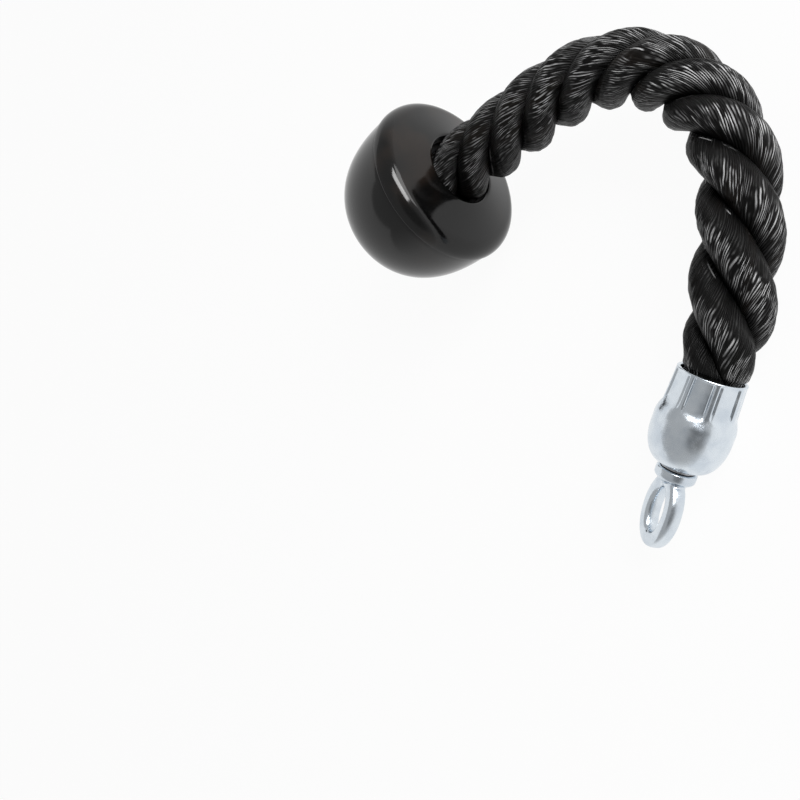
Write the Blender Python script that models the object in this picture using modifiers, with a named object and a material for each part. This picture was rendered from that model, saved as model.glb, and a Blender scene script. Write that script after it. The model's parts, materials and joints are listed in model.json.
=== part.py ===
"""Single-grip triceps rope attachment: three laid strands between a moulded stopper and a swivel eye.

The rope lies bent in one plane. In that plane the route starts at the stopper's hole and turns
clockwise to the mouth of the steel cup, and s is the distance along it. The finished object rests on
the ground with three contacts: the stopper's rim, the rope and the cup.
"""

import math

import bmesh
import bpy
import numpy as np
from mathutils import Matrix, Vector

MM = 0.001

# Rope: its size, its lay and the bend that it keeps
ROPE_DIAMETER = 30.0 * MM
ROPE_FREE_LENGTH = 228.4 * MM
LAY_LENGTH = 61.3 * MM
LAY_START_DEG = 89.0
BEND_LEAD = 5.4 * MM
BEND_LEAD_WIDTH = 34.0 * MM
BEND_LEAD_SHARE = 0.645
MOUTH_LAG = 4.5 * MM
MOUTH_LAG_LENGTH = 50.0 * MM
STRAND_COUNT = 3
STRAND_GAP = 0.5 * MM
CROWN_SHARE = 0.5
GROOVE_SHARE = 0.63
STRAND_STEP = 3.6 * MM
HEADINGS_DEG = (21.2, 21.7, 19.6, 8.7, -11.4, -33.5, -55.4, -78.9, -94.3, -99.4, -112.3)
BEND_SQUEEZE_SHARE = 0.5
PIVOT_SHARE = 0.55
MOUTH_SQUEEZE = 15.0 * MM
CLAMP_SQUEEZE = 4.5 * MM

# Clearance between pieces that touch or turn on each other
CLEARANCE = 0.3 * MM

# Stopper: two moulded shells that meet at a seam, with the rope's hole in the tapered one
STOPPER_DIAMETER = 76.2 * MM
DOME_DEPTH = 47.1 * MM
DOME_WALL = 4.0 * MM
DOME_CURVE_SHARE = 0.78
FACE_HEIGHT = 12.6 * MM
FACE_WALL = 3.6 * MM
FACE_STEP = 0.6 * MM
FACE_SHOULDER = 5.0 * MM
RIM_HEIGHT = 0.6 * MM
RIM_RADIUS = 8.0 * MM
LIP_RADIUS = 1.2 * MM
HOLE_CLEARANCE = 1.2 * MM
SPIGOT_DEPTH = 6.0 * MM
SPIGOT_WALL = 2.4 * MM

# Stop washer, clamp ring and tape on the rope's end inside the stopper
STOP_WASHER_DIAMETER = 44.0 * MM
STOP_WASHER_THICKNESS = 2.0 * MM
STOP_WASHER_PLAY = 0.6 * MM
CLAMP_BORE = 26.6 * MM
CLAMP_DIAMETER = 35.0 * MM
CLAMP_LENGTH = 13.0 * MM
TAPE_WALL = 0.8 * MM
TAPE_LENGTH = 4.0 * MM
TAPE_INSET = 0.8 * MM

# Cup: a drawn steel ferrule, crimped round the rope at its neck
CUP_LENGTH = 34.9 * MM
NECK_LENGTH = 13.6 * MM
MOUTH_DIAMETER = 25.2 * MM
NECK_BASE_DIAMETER = 26.6 * MM
NECK_BORE = 22.4 * MM
SHOULDER_LENGTH = 5.0 * MM
BULGE_DIAMETER = 29.1 * MM
BULGE_LENGTH = 3.5 * MM
CUP_WALL = 1.7 * MM
CUP_FLOOR = 2.4 * MM
CUP_FLAT_DIAMETER = 15.0 * MM
JAW_COUNT = 8
FLUTE_DEPTH = 0.55 * MM
FLUTE_TOP = 0.9 * MM
RIDGE_ANGLE_DEG = 5.0
CUP_TAPE_SHARE = 0.7

# Swivel eye: forged ring, collar and shank, with its washers and nut
SHANK_DIAMETER = 8.0 * MM
COLLAR_DIAMETER = 15.0 * MM
COLLAR_HEIGHT = 3.0 * MM
COLLAR_TAPER = 4.0 * MM
COLLAR_ROUNDING = 0.8 * MM
RING_LENGTH = 28.7 * MM
RING_WIDTH = 22.4 * MM
BAR_WIDTH = 5.8 * MM
BAR_THICKNESS = 6.4 * MM
BAR_CURVE_SHARE = 0.7
RING_SINK = 2.6 * MM
EYE_TURN_DEG = -32.0
COLLAR_WASHER_DIAMETER = 13.0 * MM
COLLAR_WASHER_THICKNESS = 0.8 * MM
SWIVEL_WASHER_THICKNESS = 1.6 * MM
NUT_ACROSS_FLATS = 13.0 * MM
NUT_HEIGHT = 5.5 * MM
NUT_CHAMFER = 0.6 * MM
SHANK_PROUD = 0.8 * MM
SHANK_CHAMFER = 0.6 * MM

# Counts that set how fine the surfaces are
ROUTE_COUNT = 1600
STRAND_POINT_COUNT = 9
TURN_COUNT = 48
SMALL_TURN_COUNT = 32
CUP_COUNT = 56
EYE_COUNT = 32
CURVE_COUNT = 5
DOME_COUNT = 13
DOME_INNER_COUNT = 8
NECK_COUNT = 5
SHOULDER_COUNT = 7
CAVITY_COUNT = 4
COLLAR_COUNT = 7
BAR_COUNT = 14
RING_COUNT = 32
NUT_SIDE_COUNT = 6
SEAT_PASS_COUNT = 12
SEAT_STATION_COUNT = 200
CUT_OVERRUN = 1.0 * MM
MERGE_DISTANCE = 0.01 * MM
SHARP_ANGLE_DEG = 35.0

# Sizes that follow from the ones above
ROPE_RADIUS = ROPE_DIAMETER / 2
STOPPER_RADIUS = STOPPER_DIAMETER / 2
HOLE_RADIUS = ROPE_RADIUS + HOLE_CLEARANCE
FACE_UNDERSIDE = FACE_HEIGHT - FACE_WALL
WASHER_TOP = FACE_UNDERSIDE - CLEARANCE
CLAMP_TOP = WASHER_TOP - STOP_WASHER_THICKNESS - CLEARANCE
CLAMP_FOOT = CLAMP_TOP - CLAMP_LENGTH
GRIP_TAPE_TOP = CLAMP_FOOT - CLEARANCE
ROPE_TAIL = FACE_HEIGHT - (GRIP_TAPE_TOP - TAPE_LENGTH - TAPE_INSET)
CUP_TAPE_TOP = -NECK_LENGTH - SHOULDER_LENGTH * CUP_TAPE_SHARE
ROPE_TUCK = TAPE_LENGTH + TAPE_INSET - CUP_TAPE_TOP
CUP_BOTTOM = -CUP_LENGTH
CUP_INNER_BOTTOM = CUP_BOTTOM + CUP_FLOOR
CUP_HOLE_RADIUS = SHANK_DIAMETER / 2 + CLEARANCE
COLLAR_TOP = CUP_BOTTOM - COLLAR_WASHER_THICKNESS - 2 * CLEARANCE
NUT_FOOT = CUP_INNER_BOTTOM + SWIVEL_WASHER_THICKNESS + 2 * CLEARANCE
SHANK_TOP = NUT_FOOT + NUT_HEIGHT + SHANK_PROUD
RING_CENTRE = COLLAR_TOP - RING_SINK - RING_LENGTH / 2

COLOURS = {
    "rope": ((0.018, 0.018, 0.019), 0.55, 0.0),
    "stopper": ((0.012, 0.012, 0.013), 0.18, 0.0),
    "plated_steel": ((0.62, 0.65, 0.69), 0.22, 1.0),
    "dull_steel": ((0.42, 0.43, 0.45), 0.42, 1.0),
    "tape": ((0.03, 0.03, 0.032), 0.7, 0.0),
}


def clear_scene():
    """Removes whatever the scene holds, and its collections."""
    for obj in list(bpy.data.objects):
        bpy.data.objects.remove(obj, do_unlink=True)
    for collection in list(bpy.data.collections):
        bpy.data.collections.remove(collection)


def make_collection(name):
    """A new collection of this name in the scene."""
    collection = bpy.data.collections.new(name)
    bpy.context.scene.collection.children.link(collection)
    return collection


def make_material(name):
    """A Principled material with the colour, roughness and metallic value listed for this name."""
    colour, roughness, metallic = COLOURS[name]
    material = bpy.data.materials.new(name)
    material.use_nodes = True
    shader = material.node_tree.nodes["Principled BSDF"]
    shader.inputs["Base Color"].default_value = (*colour, 1.0)
    shader.inputs["Roughness"].default_value = roughness
    shader.inputs["Metallic"].default_value = metallic
    return material


def smooth(share):
    """Eases from 0 to 1 as share goes from 0 to 1, and stays there on both sides."""
    t = np.clip(share, 0.0, 1.0)
    return t * t * (3.0 - 2.0 * t)


def heading(s):
    """The rope's direction in the plane of the bend at s, in radians.

    It follows a smooth curve through the listed headings, which lie at equal steps of the free length.
    """
    spans = len(HEADINGS_DEG) - 1
    before_first = 2 * HEADINGS_DEG[0] - HEADINGS_DEG[1]
    after_last = 2 * HEADINGS_DEG[-1] - HEADINGS_DEG[-2]
    listed = np.array((before_first, *HEADINGS_DEG, after_last))
    place = np.clip(s / ROPE_FREE_LENGTH, 0.0, 1.0) * spans
    span = np.minimum(np.floor(place).astype(int), spans - 1)
    before, start, end, after = (listed[span + step] for step in range(4))
    t = place - span
    lead_in = (end - before) / 2 * t * (1.0 - t) ** 2
    lead_out = (after - start) / 2 * t**2 * (1.0 - t)
    return np.radians(start + (end - start) * smooth(t) + lead_in - lead_out)


def turn_rate(s):
    """How sharply the rope bends clockwise at s: its radius as a share of the bend's radius."""
    return max(0.0, float(heading(s - ROPE_RADIUS / 2) - heading(s + ROPE_RADIUS / 2)))


def route_table():
    """Distances along the whole rope and the centreline's x and y there, from adding up the headings."""
    s = np.linspace(-ROPE_TAIL, ROPE_FREE_LENGTH + ROPE_TUCK, ROUTE_COUNT)
    middle = (s[1:] + s[:-1]) / 2
    step = np.diff(s)
    x = np.concatenate([[0.0], np.cumsum(np.cos(heading(middle)) * step)])
    y = np.concatenate([[0.0], np.cumsum(np.sin(heading(middle)) * step)])
    return s, x - np.interp(0.0, s, x), y - np.interp(0.0, s, y)


ROUTE = route_table()


def centre(s):
    """The point of the rope's centreline at s."""
    return Vector((float(np.interp(s, ROUTE[0], ROUTE[1])), float(np.interp(s, ROUTE[0], ROUTE[2])), 0.0))


def along(s):
    """The rope's direction at s."""
    return Vector((math.cos(heading(s)), math.sin(heading(s)), 0.0))


def left_of(s):
    """The direction to the left of the rope at s, in the plane of the bend."""
    return Vector((-math.sin(heading(s)), math.cos(heading(s)), 0.0))


def rope_share(s):
    """The rope's radius at s as a share of its full one: it is squeezed into the cup and the clamp ring."""
    neck_share = (NECK_BORE / 2 - CLEARANCE) / ROPE_RADIUS
    clamp_share = (CLAMP_BORE / 2 - CLEARANCE) / ROPE_RADIUS
    into_neck = smooth((s - ROPE_FREE_LENGTH + MOUTH_SQUEEZE) / MOUTH_SQUEEZE)
    into_clamp = smooth((CLAMP_TOP + CLAMP_SQUEEZE - FACE_HEIGHT - s) / CLAMP_SQUEEZE)
    return float(1.0 - (1.0 - neck_share) * into_neck - (1.0 - clamp_share) * into_clamp)


def lay_place(s):
    """The distance that the lay has reached at s: it is crowded before the sharpest bend, and open at its end."""
    from_bend = (s - BEND_LEAD_SHARE * ROPE_FREE_LENGTH) / BEND_LEAD_WIDTH
    into_mouth = smooth((s - ROPE_FREE_LENGTH + MOUTH_LAG_LENGTH) / MOUTH_LAG_LENGTH)
    return s + BEND_LEAD * math.exp(-(from_bend**2)) - MOUTH_LAG * float(into_mouth)


def strand_section():
    """A strand's section, from its tip near the rope's centre round its outer side, for a strand at angle 0.

    The outer side is part of an ellipse, and both flanks stay half a gap away from the neighbours.
    """
    flank = math.pi / STRAND_COUNT
    depth = ROPE_RADIUS * CROWN_SHARE
    middle = ROPE_RADIUS - depth
    groove = ROPE_RADIUS * GROOVE_SHARE
    width = groove * math.sin(flank) / math.sqrt(1.0 - ((groove * math.cos(flank) - middle) / depth) ** 2)
    reach = math.acos((groove * math.cos(flank) - middle) / depth)
    section = [Vector((STRAND_GAP / (2 * math.sin(flank)), 0.0))]
    for share in np.linspace(-1.0, 1.0, STRAND_POINT_COUNT):
        point = Vector((middle + depth * math.cos(reach * share), width * math.sin(reach * share)))
        spare = (point.x * math.sin(flank) - abs(point.y) * math.cos(flank)) - STRAND_GAP / 2
        if spare < 0.0:
            point += Vector((-math.sin(flank), math.copysign(math.cos(flank), point.y))) * spare
        section.append(point)
    return section


def strand_ring(s, number, section):
    """The points of a strand's section at s: the strands wind left-handed round the rope's centreline.

    The rope flattens a little on the inner side of its bend.
    """
    angle = math.radians(LAY_START_DEG) + 2 * math.pi * (number / STRAND_COUNT - lay_place(s) / LAY_LENGTH)
    left = left_of(s)
    out = left * math.cos(angle) + Vector((0.0, 0.0, 1.0)) * math.sin(angle)
    aside = out.cross(along(s))
    flattening = turn_rate(s) * BEND_SQUEEZE_SHARE
    ring = []
    for point in section:
        reach = (out * point.x - aside * point.y) * rope_share(s)
        ring.append(centre(s) + reach - left * min(reach.dot(left), 0.0) * flattening)
    return ring


def frame_empty(name, location, x_axis, y_axis, z_axis, parent):
    """An empty that carries a group of pieces, with its axes and place given in its parent's frame."""
    empty = bpy.data.objects.new(name, None)
    bpy.context.scene.collection.objects.link(empty)
    empty.empty_display_size = ROPE_RADIUS
    empty.parent = parent
    turn = Matrix((x_axis, y_axis, z_axis)).transposed().to_4x4()
    empty.matrix_local = Matrix.Translation(location) @ turn
    return empty


def add_object(name, data, collection, parent, material):
    """A named object in its collection, carried by parent, with its material."""
    obj = bpy.data.objects.new(name, data)
    collection.objects.link(obj)
    obj.parent = parent
    data.materials.append(material)
    return obj


def shade(obj):
    """Smooth shading with sharp edges kept."""
    obj.data.shade_smooth()
    obj.data.set_sharp_from_angle(angle=math.radians(SHARP_ANGLE_DEG))


def profile_mesh(name, points, closed):
    """A wire mesh of a profile, from points of radius and height."""
    mesh = bpy.data.meshes.new(name)
    wire = bmesh.new()
    rows = [wire.verts.new((radius, 0.0, height)) for radius, height in points]
    for first, second in zip(rows, rows[1:] + rows[:1]):
        if closed or second is not rows[0]:
            wire.edges.new((first, second))
    wire.to_mesh(mesh)
    wire.free()
    return mesh


def turned(name, points, closed, collection, parent, material, steps=TURN_COUNT):
    """A turned piece: the profile runs down its outer side and is screwed once round Z."""
    obj = add_object(name, profile_mesh(name, points, closed), collection, parent, material)
    screw = obj.modifiers.new("turn", "SCREW")
    screw.steps = screw.render_steps = steps
    screw.use_merge_vertices = True
    screw.merge_threshold = MERGE_DISTANCE
    return frozen(obj)


def frozen(obj):
    """The object made again from its evaluated mesh, with welded seams, no modifiers and smooth shading."""
    bpy.context.view_layer.update()
    graph = bpy.context.evaluated_depsgraph_get()
    mesh = bpy.data.meshes.new_from_object(obj.evaluated_get(graph))
    shape = bmesh.new()
    shape.from_mesh(mesh)
    bmesh.ops.remove_doubles(shape, verts=shape.verts, dist=MERGE_DISTANCE)
    shape.to_mesh(mesh)
    shape.free()
    name, collection, parent, place = obj.name, obj.users_collection[0], obj.parent, obj.matrix_local.copy()
    bpy.data.objects.remove(obj, do_unlink=True)
    made = bpy.data.objects.new(name, mesh)
    collection.objects.link(made)
    made.parent = parent
    made.matrix_local = place
    shade(made)
    return made


def boolean(obj, other, operation):
    """Adds an exact Boolean of obj with other."""
    modifier = obj.modifiers.new(operation.lower(), "BOOLEAN")
    modifier.operation = operation
    modifier.object = other
    modifier.solver = "EXACT"


def hide_helper(obj):
    """Marks a cutter or a guide as one that isn't part of the object."""
    obj.hide_render = True
    obj.display_type = "WIRE"


def arc_points(centre_point, reach, start_deg, end_deg, count=CURVE_COUNT):
    """Points of radius and height on an ellipse's arc, for a profile."""
    angles = np.radians(np.linspace(start_deg, end_deg, count))
    return [
        (centre_point[0] + reach[0] * math.cos(a), centre_point[1] + reach[1] * math.sin(a)) for a in angles
    ]


def dome_points(radius, depth, count):
    """The dome's outline from its pole to its mouth, a little fuller than an ellipse."""
    angles = np.radians(np.linspace(0.0, 90.0, count))
    power = DOME_CURVE_SHARE
    return [(radius * math.sin(a) ** power, -depth * max(math.cos(a), 0.0) ** power) for a in angles]


def make_stopper_dome(parts, frame, material):
    """The deep shell behind the seam, open towards the rope, with a straight seat for the face's spigot."""
    half_gap = CLEARANCE / 2
    seat = SPIGOT_DEPTH + CLEARANCE
    cavity_radius, cavity_depth = STOPPER_RADIUS - DOME_WALL, DOME_DEPTH - DOME_WALL - seat
    cavity = dome_points(cavity_radius, cavity_depth, DOME_INNER_COUNT)
    inner = [(radius, height - seat) for radius, height in cavity] + [(cavity_radius, -half_gap)]
    outer = [(STOPPER_RADIUS, -half_gap)] + dome_points(STOPPER_RADIUS, DOME_DEPTH, DOME_COUNT)[-2::-1]
    inner[0] = (0.0, inner[0][1])
    outer[-1] = (0.0, outer[-1][1])
    return turned("stopper_dome", inner + outer, False, parts, frame, material)


def make_stopper_face(parts, frame, material):
    """The tapered cover with the rope's hole, a rounded rim, and a spigot that fits inside the dome."""
    rim = STOPPER_RADIUS + FACE_STEP
    half_gap = CLEARANCE / 2
    spigot_outer = STOPPER_RADIUS - DOME_WALL - CLEARANCE
    spigot_inner = spigot_outer - SPIGOT_WALL
    rim_centre = (rim - RIM_RADIUS, RIM_HEIGHT)
    lip_centre = (HOLE_RADIUS + LIP_RADIUS, FACE_HEIGHT - LIP_RADIUS)
    across, up = lip_centre[0] - rim_centre[0], lip_centre[1] - rim_centre[1]
    slope = math.atan2(up, across) - math.acos((RIM_RADIUS - LIP_RADIUS) / math.hypot(across, up))
    slope = math.degrees(slope)
    points = arc_points(lip_centre, (LIP_RADIUS, LIP_RADIUS), 180.0, slope)
    points += arc_points(rim_centre, (RIM_RADIUS, RIM_RADIUS), slope, 0.0)
    points += [(rim, half_gap), (spigot_outer, half_gap), (spigot_outer, -SPIGOT_DEPTH)]
    points += [(spigot_inner, -SPIGOT_DEPTH), (spigot_inner, FACE_SHOULDER)]
    washer_seat = STOP_WASHER_DIAMETER / 2 + CLEARANCE
    points += [(washer_seat, FACE_UNDERSIDE), (HOLE_RADIUS, FACE_UNDERSIDE)]
    return turned("stopper_face", points, True, parts, frame, material)


def make_ring(name, outer, bore, top, height, parts, frame, material, edge=0.0):
    """A flat or tall ring round Z: a washer, a band of tape or the clamp ring, with eased outer edges."""
    foot = top - height
    if edge:
        rim = [(outer - edge, top), (outer, top - edge), (outer, foot + edge), (outer - edge, foot)]
    else:
        rim = [(outer, top), (outer, foot)]
    points = [(bore, top)] + rim + [(bore, foot)]
    return turned(name, points, True, parts, frame, material, SMALL_TURN_COUNT)


def make_stop_washer(parts, frame, material):
    """The loose steel washer behind the stopper's hole, which takes the pull of the hands."""
    outer, bore = STOP_WASHER_DIAMETER / 2, ROPE_RADIUS + STOP_WASHER_PLAY
    make_ring("stop_washer", outer, bore, WASHER_TOP, STOP_WASHER_THICKNESS, parts, frame, material)


def make_clamp_ring(parts, frame, material):
    """The ring crimped on the rope's end, too wide for the washer's bore."""
    outer, bore = CLAMP_DIAMETER / 2, CLAMP_BORE / 2
    make_ring("clamp_ring", outer, bore, CLAMP_TOP, CLAMP_LENGTH, parts, frame, material, LIP_RADIUS)


def make_end_tapes(parts, frames, material):
    """The tape round each cut end of the rope, which keeps the strands together."""
    ends = {
        "grip_end_tape": (CLAMP_BORE / 2, GRIP_TAPE_TOP, frames["stopper"]),
        "ferrule_end_tape": (NECK_BORE / 2, CUP_TAPE_TOP, frames["cup"]),
    }
    for name, (bore, top, frame) in ends.items():
        make_ring(name, bore + TAPE_WALL, bore, top, TAPE_LENGTH, parts, frame, material)


def make_eye_washers(parts, frame, material):
    """The washers that the eye turns on: one under its collar, one between the nut and the cup's bottom."""
    outer, top = COLLAR_WASHER_DIAMETER / 2, CUP_BOTTOM - CLEARANCE
    make_ring("collar_washer", outer, CUP_HOLE_RADIUS, top, COLLAR_WASHER_THICKNESS, parts, frame, material)
    outer, top = CUP_FLAT_DIAMETER / 2, NUT_FOOT - CLEARANCE
    make_ring("swivel_washer", outer, CUP_HOLE_RADIUS, top, SWIVEL_WASHER_THICKNESS, parts, frame, material)


def flute_depth(angle, height):
    """How far the crimping jaws press the neck in, at this angle and height of its outer side."""
    pitch = 2 * math.pi / JAW_COUNT
    from_ridge = abs((angle + pitch / 2) % pitch - pitch / 2)
    ridge = math.exp(-((from_ridge / math.radians(RIDGE_ANGLE_DEG)) ** 2))
    below_rim = smooth(-height / FLUTE_TOP)
    above_shoulder = 1.0 - smooth((-height - NECK_LENGTH + FLUTE_TOP) / (2 * FLUTE_TOP))
    return FLUTE_DEPTH * (1.0 - ridge) * float(below_rim * above_shoulder)


def cup_side(mouth, base, bulge, floor, corner, neck_points, arc_count):
    """One side of the cup's wall, from the mouth down: neck, shoulder, bulge and rounded bottom."""
    shoulder_foot = -NECK_LENGTH - SHOULDER_LENGTH
    bulge_foot = shoulder_foot - BULGE_LENGTH
    points = [
        (mouth + (base - mouth) * share, -NECK_LENGTH * share)
        for share in np.linspace(0.0, 1.0, neck_points)[1:]
    ]
    points += [
        (base + (bulge - base) * float(smooth(share)), -NECK_LENGTH - SHOULDER_LENGTH * share)
        for share in np.linspace(0.0, 1.0, arc_count)[1:]
    ]
    points += arc_points((corner, bulge_foot), (bulge - corner, bulge_foot - floor), 0.0, -90.0, arc_count)
    return points


def make_cup(parts, frame, material):
    """The drawn steel cup: a turned shell whose neck is then pressed in by the crimping jaws."""
    corner = CUP_FLAT_DIAMETER / 2
    mouth, base, bulge = MOUTH_DIAMETER / 2, NECK_BASE_DIAMETER / 2, BULGE_DIAMETER / 2
    outer = cup_side(mouth, base, bulge, CUP_BOTTOM, corner, NECK_COUNT, SHOULDER_COUNT)
    cavity = bulge - CUP_WALL
    bore = NECK_BORE / 2
    inner = cup_side(bore, bore, cavity, CUP_INNER_BOTTOM, corner, 2, CAVITY_COUNT)
    rim_radius = (mouth - bore) / 2
    rim = arc_points((mouth - rim_radius, -rim_radius), (rim_radius, rim_radius), 180.0, 0.0)
    hole = [(CUP_HOLE_RADIUS, CUP_BOTTOM), (CUP_HOLE_RADIUS, CUP_INNER_BOTTOM)]
    points = rim + outer + hole + inner[::-1]
    cup = turned("ferrule", points, True, parts, frame, material, CUP_COUNT)
    middle = (mouth + bore) / 2
    for vertex in cup.data.vertices:
        radius = math.hypot(vertex.co.x, vertex.co.y)
        if radius > middle and vertex.co.z > -NECK_LENGTH - FLUTE_TOP:
            pressed = radius - flute_depth(math.atan2(vertex.co.y, vertex.co.x), vertex.co.z)
            vertex.co.x *= pressed / radius
            vertex.co.y *= pressed / radius
    shade(cup)
    return cup


def make_nut(parts, cutters, frame, material):
    """The hexagon nut on the shank, chamfered, with its bore cut through."""
    mesh = bpy.data.meshes.new("swivel_nut")
    shape = bmesh.new()
    corner_radius = NUT_ACROSS_FLATS / 2 / math.cos(math.pi / NUT_SIDE_COUNT)
    bmesh.ops.create_cone(
        shape, cap_ends=True, segments=NUT_SIDE_COUNT, radius1=corner_radius, radius2=corner_radius,
        depth=NUT_HEIGHT, matrix=Matrix.Translation((0.0, 0.0, NUT_FOOT + NUT_HEIGHT / 2)),
    )
    flat_edges = [e for e in shape.edges if abs(e.verts[0].co.z - e.verts[1].co.z) < NUT_HEIGHT / 2]
    bmesh.ops.bevel(shape, geom=flat_edges, offset=NUT_CHAMFER, segments=1, affect="EDGES")
    shape.to_mesh(mesh)
    shape.free()
    nut = add_object("swivel_nut", mesh, parts, frame, material)
    top, foot = SHANK_TOP + CUT_OVERRUN, NUT_FOOT - CUT_OVERRUN
    outline = [(0.0, top), (CUP_HOLE_RADIUS, top), (CUP_HOLE_RADIUS, foot), (0.0, foot)]
    bore = turned("nut_bore", outline, False, cutters, frame, material, SMALL_TURN_COUNT)
    hide_helper(bore)
    boolean(nut, bore, "DIFFERENCE")
    return nut


def ring_path(name, across, along_axis, count):
    """A flat closed curve through points of an ellipse, whose points may be drawn towards a square."""
    curve = bpy.data.curves.new(name, "CURVE")
    curve.dimensions = "2D"
    spline = curve.splines.new("POLY")
    spline.points.add(count - 1)
    for index, point in enumerate(spline.points):
        angle = 2 * math.pi * (index + 0.5) / count
        point.co = (across(math.cos(angle)), along_axis(math.sin(angle)), 0.0, 1.0)
    spline.use_cyclic_u = True
    return curve


def squared(value):
    """A cosine or sine drawn towards a square section."""
    return math.copysign(abs(value) ** BAR_CURVE_SHARE, value)


def ring_bar(cutters, frame, material):
    """The eye's oval bar: an oval path swept with a bar section that is flattened on its sides."""
    section = ring_path(
        "bar_section",
        lambda share: squared(share) * BAR_WIDTH / 2,
        lambda share: squared(share) * BAR_THICKNESS / 2,
        BAR_COUNT,
    )
    section_object = bpy.data.objects.new("bar_section", section)
    cutters.objects.link(section_object)
    hide_helper(section_object)
    path = ring_path(
        "ring_bar",
        lambda share: share * (RING_WIDTH - BAR_WIDTH) / 2,
        lambda share: share * (RING_LENGTH - BAR_WIDTH) / 2,
        RING_COUNT,
    )
    path.bevel_mode = "OBJECT"
    path.bevel_object = section_object
    bar = add_object("ring_bar", path, cutters, frame, material)
    bar.matrix_local = Matrix.Translation((0.0, 0.0, RING_CENTRE)) @ Matrix.Rotation(math.pi / 2, 4, "X")
    return bar


def make_eye(parts, cutters, frame, material):
    """The forged eye: the ring joined to its collar and the shank that runs up into the cup."""
    radius, collar = SHANK_DIAMETER / 2, COLLAR_DIAMETER / 2
    taper_top = COLLAR_TOP - COLLAR_HEIGHT
    points = [(0.0, SHANK_TOP), (radius - SHANK_CHAMFER, SHANK_TOP), (radius, SHANK_TOP - SHANK_CHAMFER)]
    points += [(radius, COLLAR_TOP), (collar - COLLAR_ROUNDING, COLLAR_TOP)]
    points += [(collar, COLLAR_TOP - COLLAR_ROUNDING)]
    points += [
        (collar + (BAR_THICKNESS / 2 - collar) * float(smooth(share)), taper_top - COLLAR_TAPER * share)
        for share in np.linspace(0.0, 1.0, COLLAR_COUNT)
    ]
    points += [(0.0, taper_top - COLLAR_TAPER)]
    eye = turned("swivel_eye", points, False, parts, frame, material, EYE_COUNT)
    bar = frozen(ring_bar(cutters, frame, material))
    hide_helper(bar)
    boolean(eye, bar, "UNION")
    return eye


def make_strand(name, number, start, end, parts, frame, pivot, material):
    """One half of a strand: its section lofted along the rope, turning with the lay.

    Both flanks are split into triangles alike, so neighbouring strands stay parallel.
    """
    section = strand_section()
    shape = bmesh.new()
    stations = np.linspace(start, end, max(2, round((end - start) / STRAND_STEP) + 1))
    rings = [[shape.verts.new(point - pivot) for point in strand_ring(s, number, section)] for s in stations]
    for (tip, *crown), (next_tip, *next_crown) in zip(rings, rings[1:]):
        for outer, next_outer in ((crown[0], next_crown[0]), (crown[-1], next_crown[-1])):
            shape.faces.new((tip, outer, next_outer))
            shape.faces.new((tip, next_outer, next_tip))
        for index in range(1, len(crown)):
            shape.faces.new((crown[index - 1], crown[index], next_crown[index], next_crown[index - 1]))
    shape.faces.new(rings[0][::-1])
    shape.faces.new(rings[-1])
    bmesh.ops.recalc_face_normals(shape, faces=shape.faces)
    mesh = bpy.data.meshes.new(name)
    shape.to_mesh(mesh)
    shape.free()
    strand = add_object(name, mesh, parts, frame, material)
    shade(strand)
    return strand


def make_rope(parts, frame, pivot, material):
    """The three laid strands, each in two halves that meet where the bend's joint is."""
    split = PIVOT_SHARE * ROPE_FREE_LENGTH
    spans = {
        "grip": (-ROPE_TAIL, split - CLEARANCE / 2),
        "ferrule": (split + CLEARANCE / 2, ROPE_FREE_LENGTH + ROPE_TUCK),
    }
    for number in range(STRAND_COUNT):
        for half, (start, end) in spans.items():
            make_strand(f"strand_{number + 1}_{half}", number, start, end, parts, frame, pivot, material)


def lowest_on_disc(middle, axis, radius, up):
    """The lowest point of a disc's edge, for a direction that is up."""
    down = -(up - axis * up.dot(axis)).normalized()
    return middle + down * radius


def resting_up():
    """The upward direction, in the frame of the bend, when the stopper's rim, the rope and the cup touch."""
    mouth = centre(ROPE_FREE_LENGTH)
    bulge_drop = NECK_LENGTH + SHOULDER_LENGTH + BULGE_LENGTH / 2
    cup_middle = mouth + along(ROPE_FREE_LENGTH) * bulge_drop
    stopper_middle = centre(0.0) - along(0.0) * (FACE_HEIGHT - RIM_HEIGHT / 2)
    stations = np.linspace(0.0, ROPE_FREE_LENGTH - MOUTH_SQUEEZE, SEAT_STATION_COUNT)
    up = Vector((0.0, 0.0, 1.0))
    for _ in range(SEAT_PASS_COUNT):
        rope_at = min(stations, key=lambda s: centre(s).dot(up))
        contacts = [
            lowest_on_disc(stopper_middle, along(0.0), STOPPER_RADIUS + FACE_STEP, up),
            lowest_on_disc(centre(rope_at), along(rope_at), ROPE_RADIUS, up),
            lowest_on_disc(cup_middle, along(ROPE_FREE_LENGTH), BULGE_DIAMETER / 2, up),
        ]
        normal = (contacts[1] - contacts[0]).cross(contacts[2] - contacts[0]).normalized()
        up = (up + normal * math.copysign(1.0, normal.z)).normalized()
    return up


def seat_on_ground(frame, parts):
    """Turns the whole object so that it rests on its three contacts, with its origin under its middle."""
    turn = resting_up().rotation_difference(Vector((0.0, 0.0, 1.0))).to_matrix().to_4x4()
    frame.matrix_local = turn
    bpy.context.view_layer.update()
    graph = bpy.context.evaluated_depsgraph_get()
    low, high = np.full(3, np.inf), np.full(3, -np.inf)
    for obj in parts.objects:
        made = obj.evaluated_get(graph)
        mesh = made.to_mesh()
        points = np.array([made.matrix_world @ vertex.co for vertex in mesh.vertices])
        low, high = np.minimum(low, points.min(axis=0)), np.maximum(high, points.max(axis=0))
        made.to_mesh_clear()
    shift = Vector((-(low[0] + high[0]) / 2, -(low[1] + high[1]) / 2, -low[2]))
    frame.matrix_local = Matrix.Translation(shift) @ turn


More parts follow.
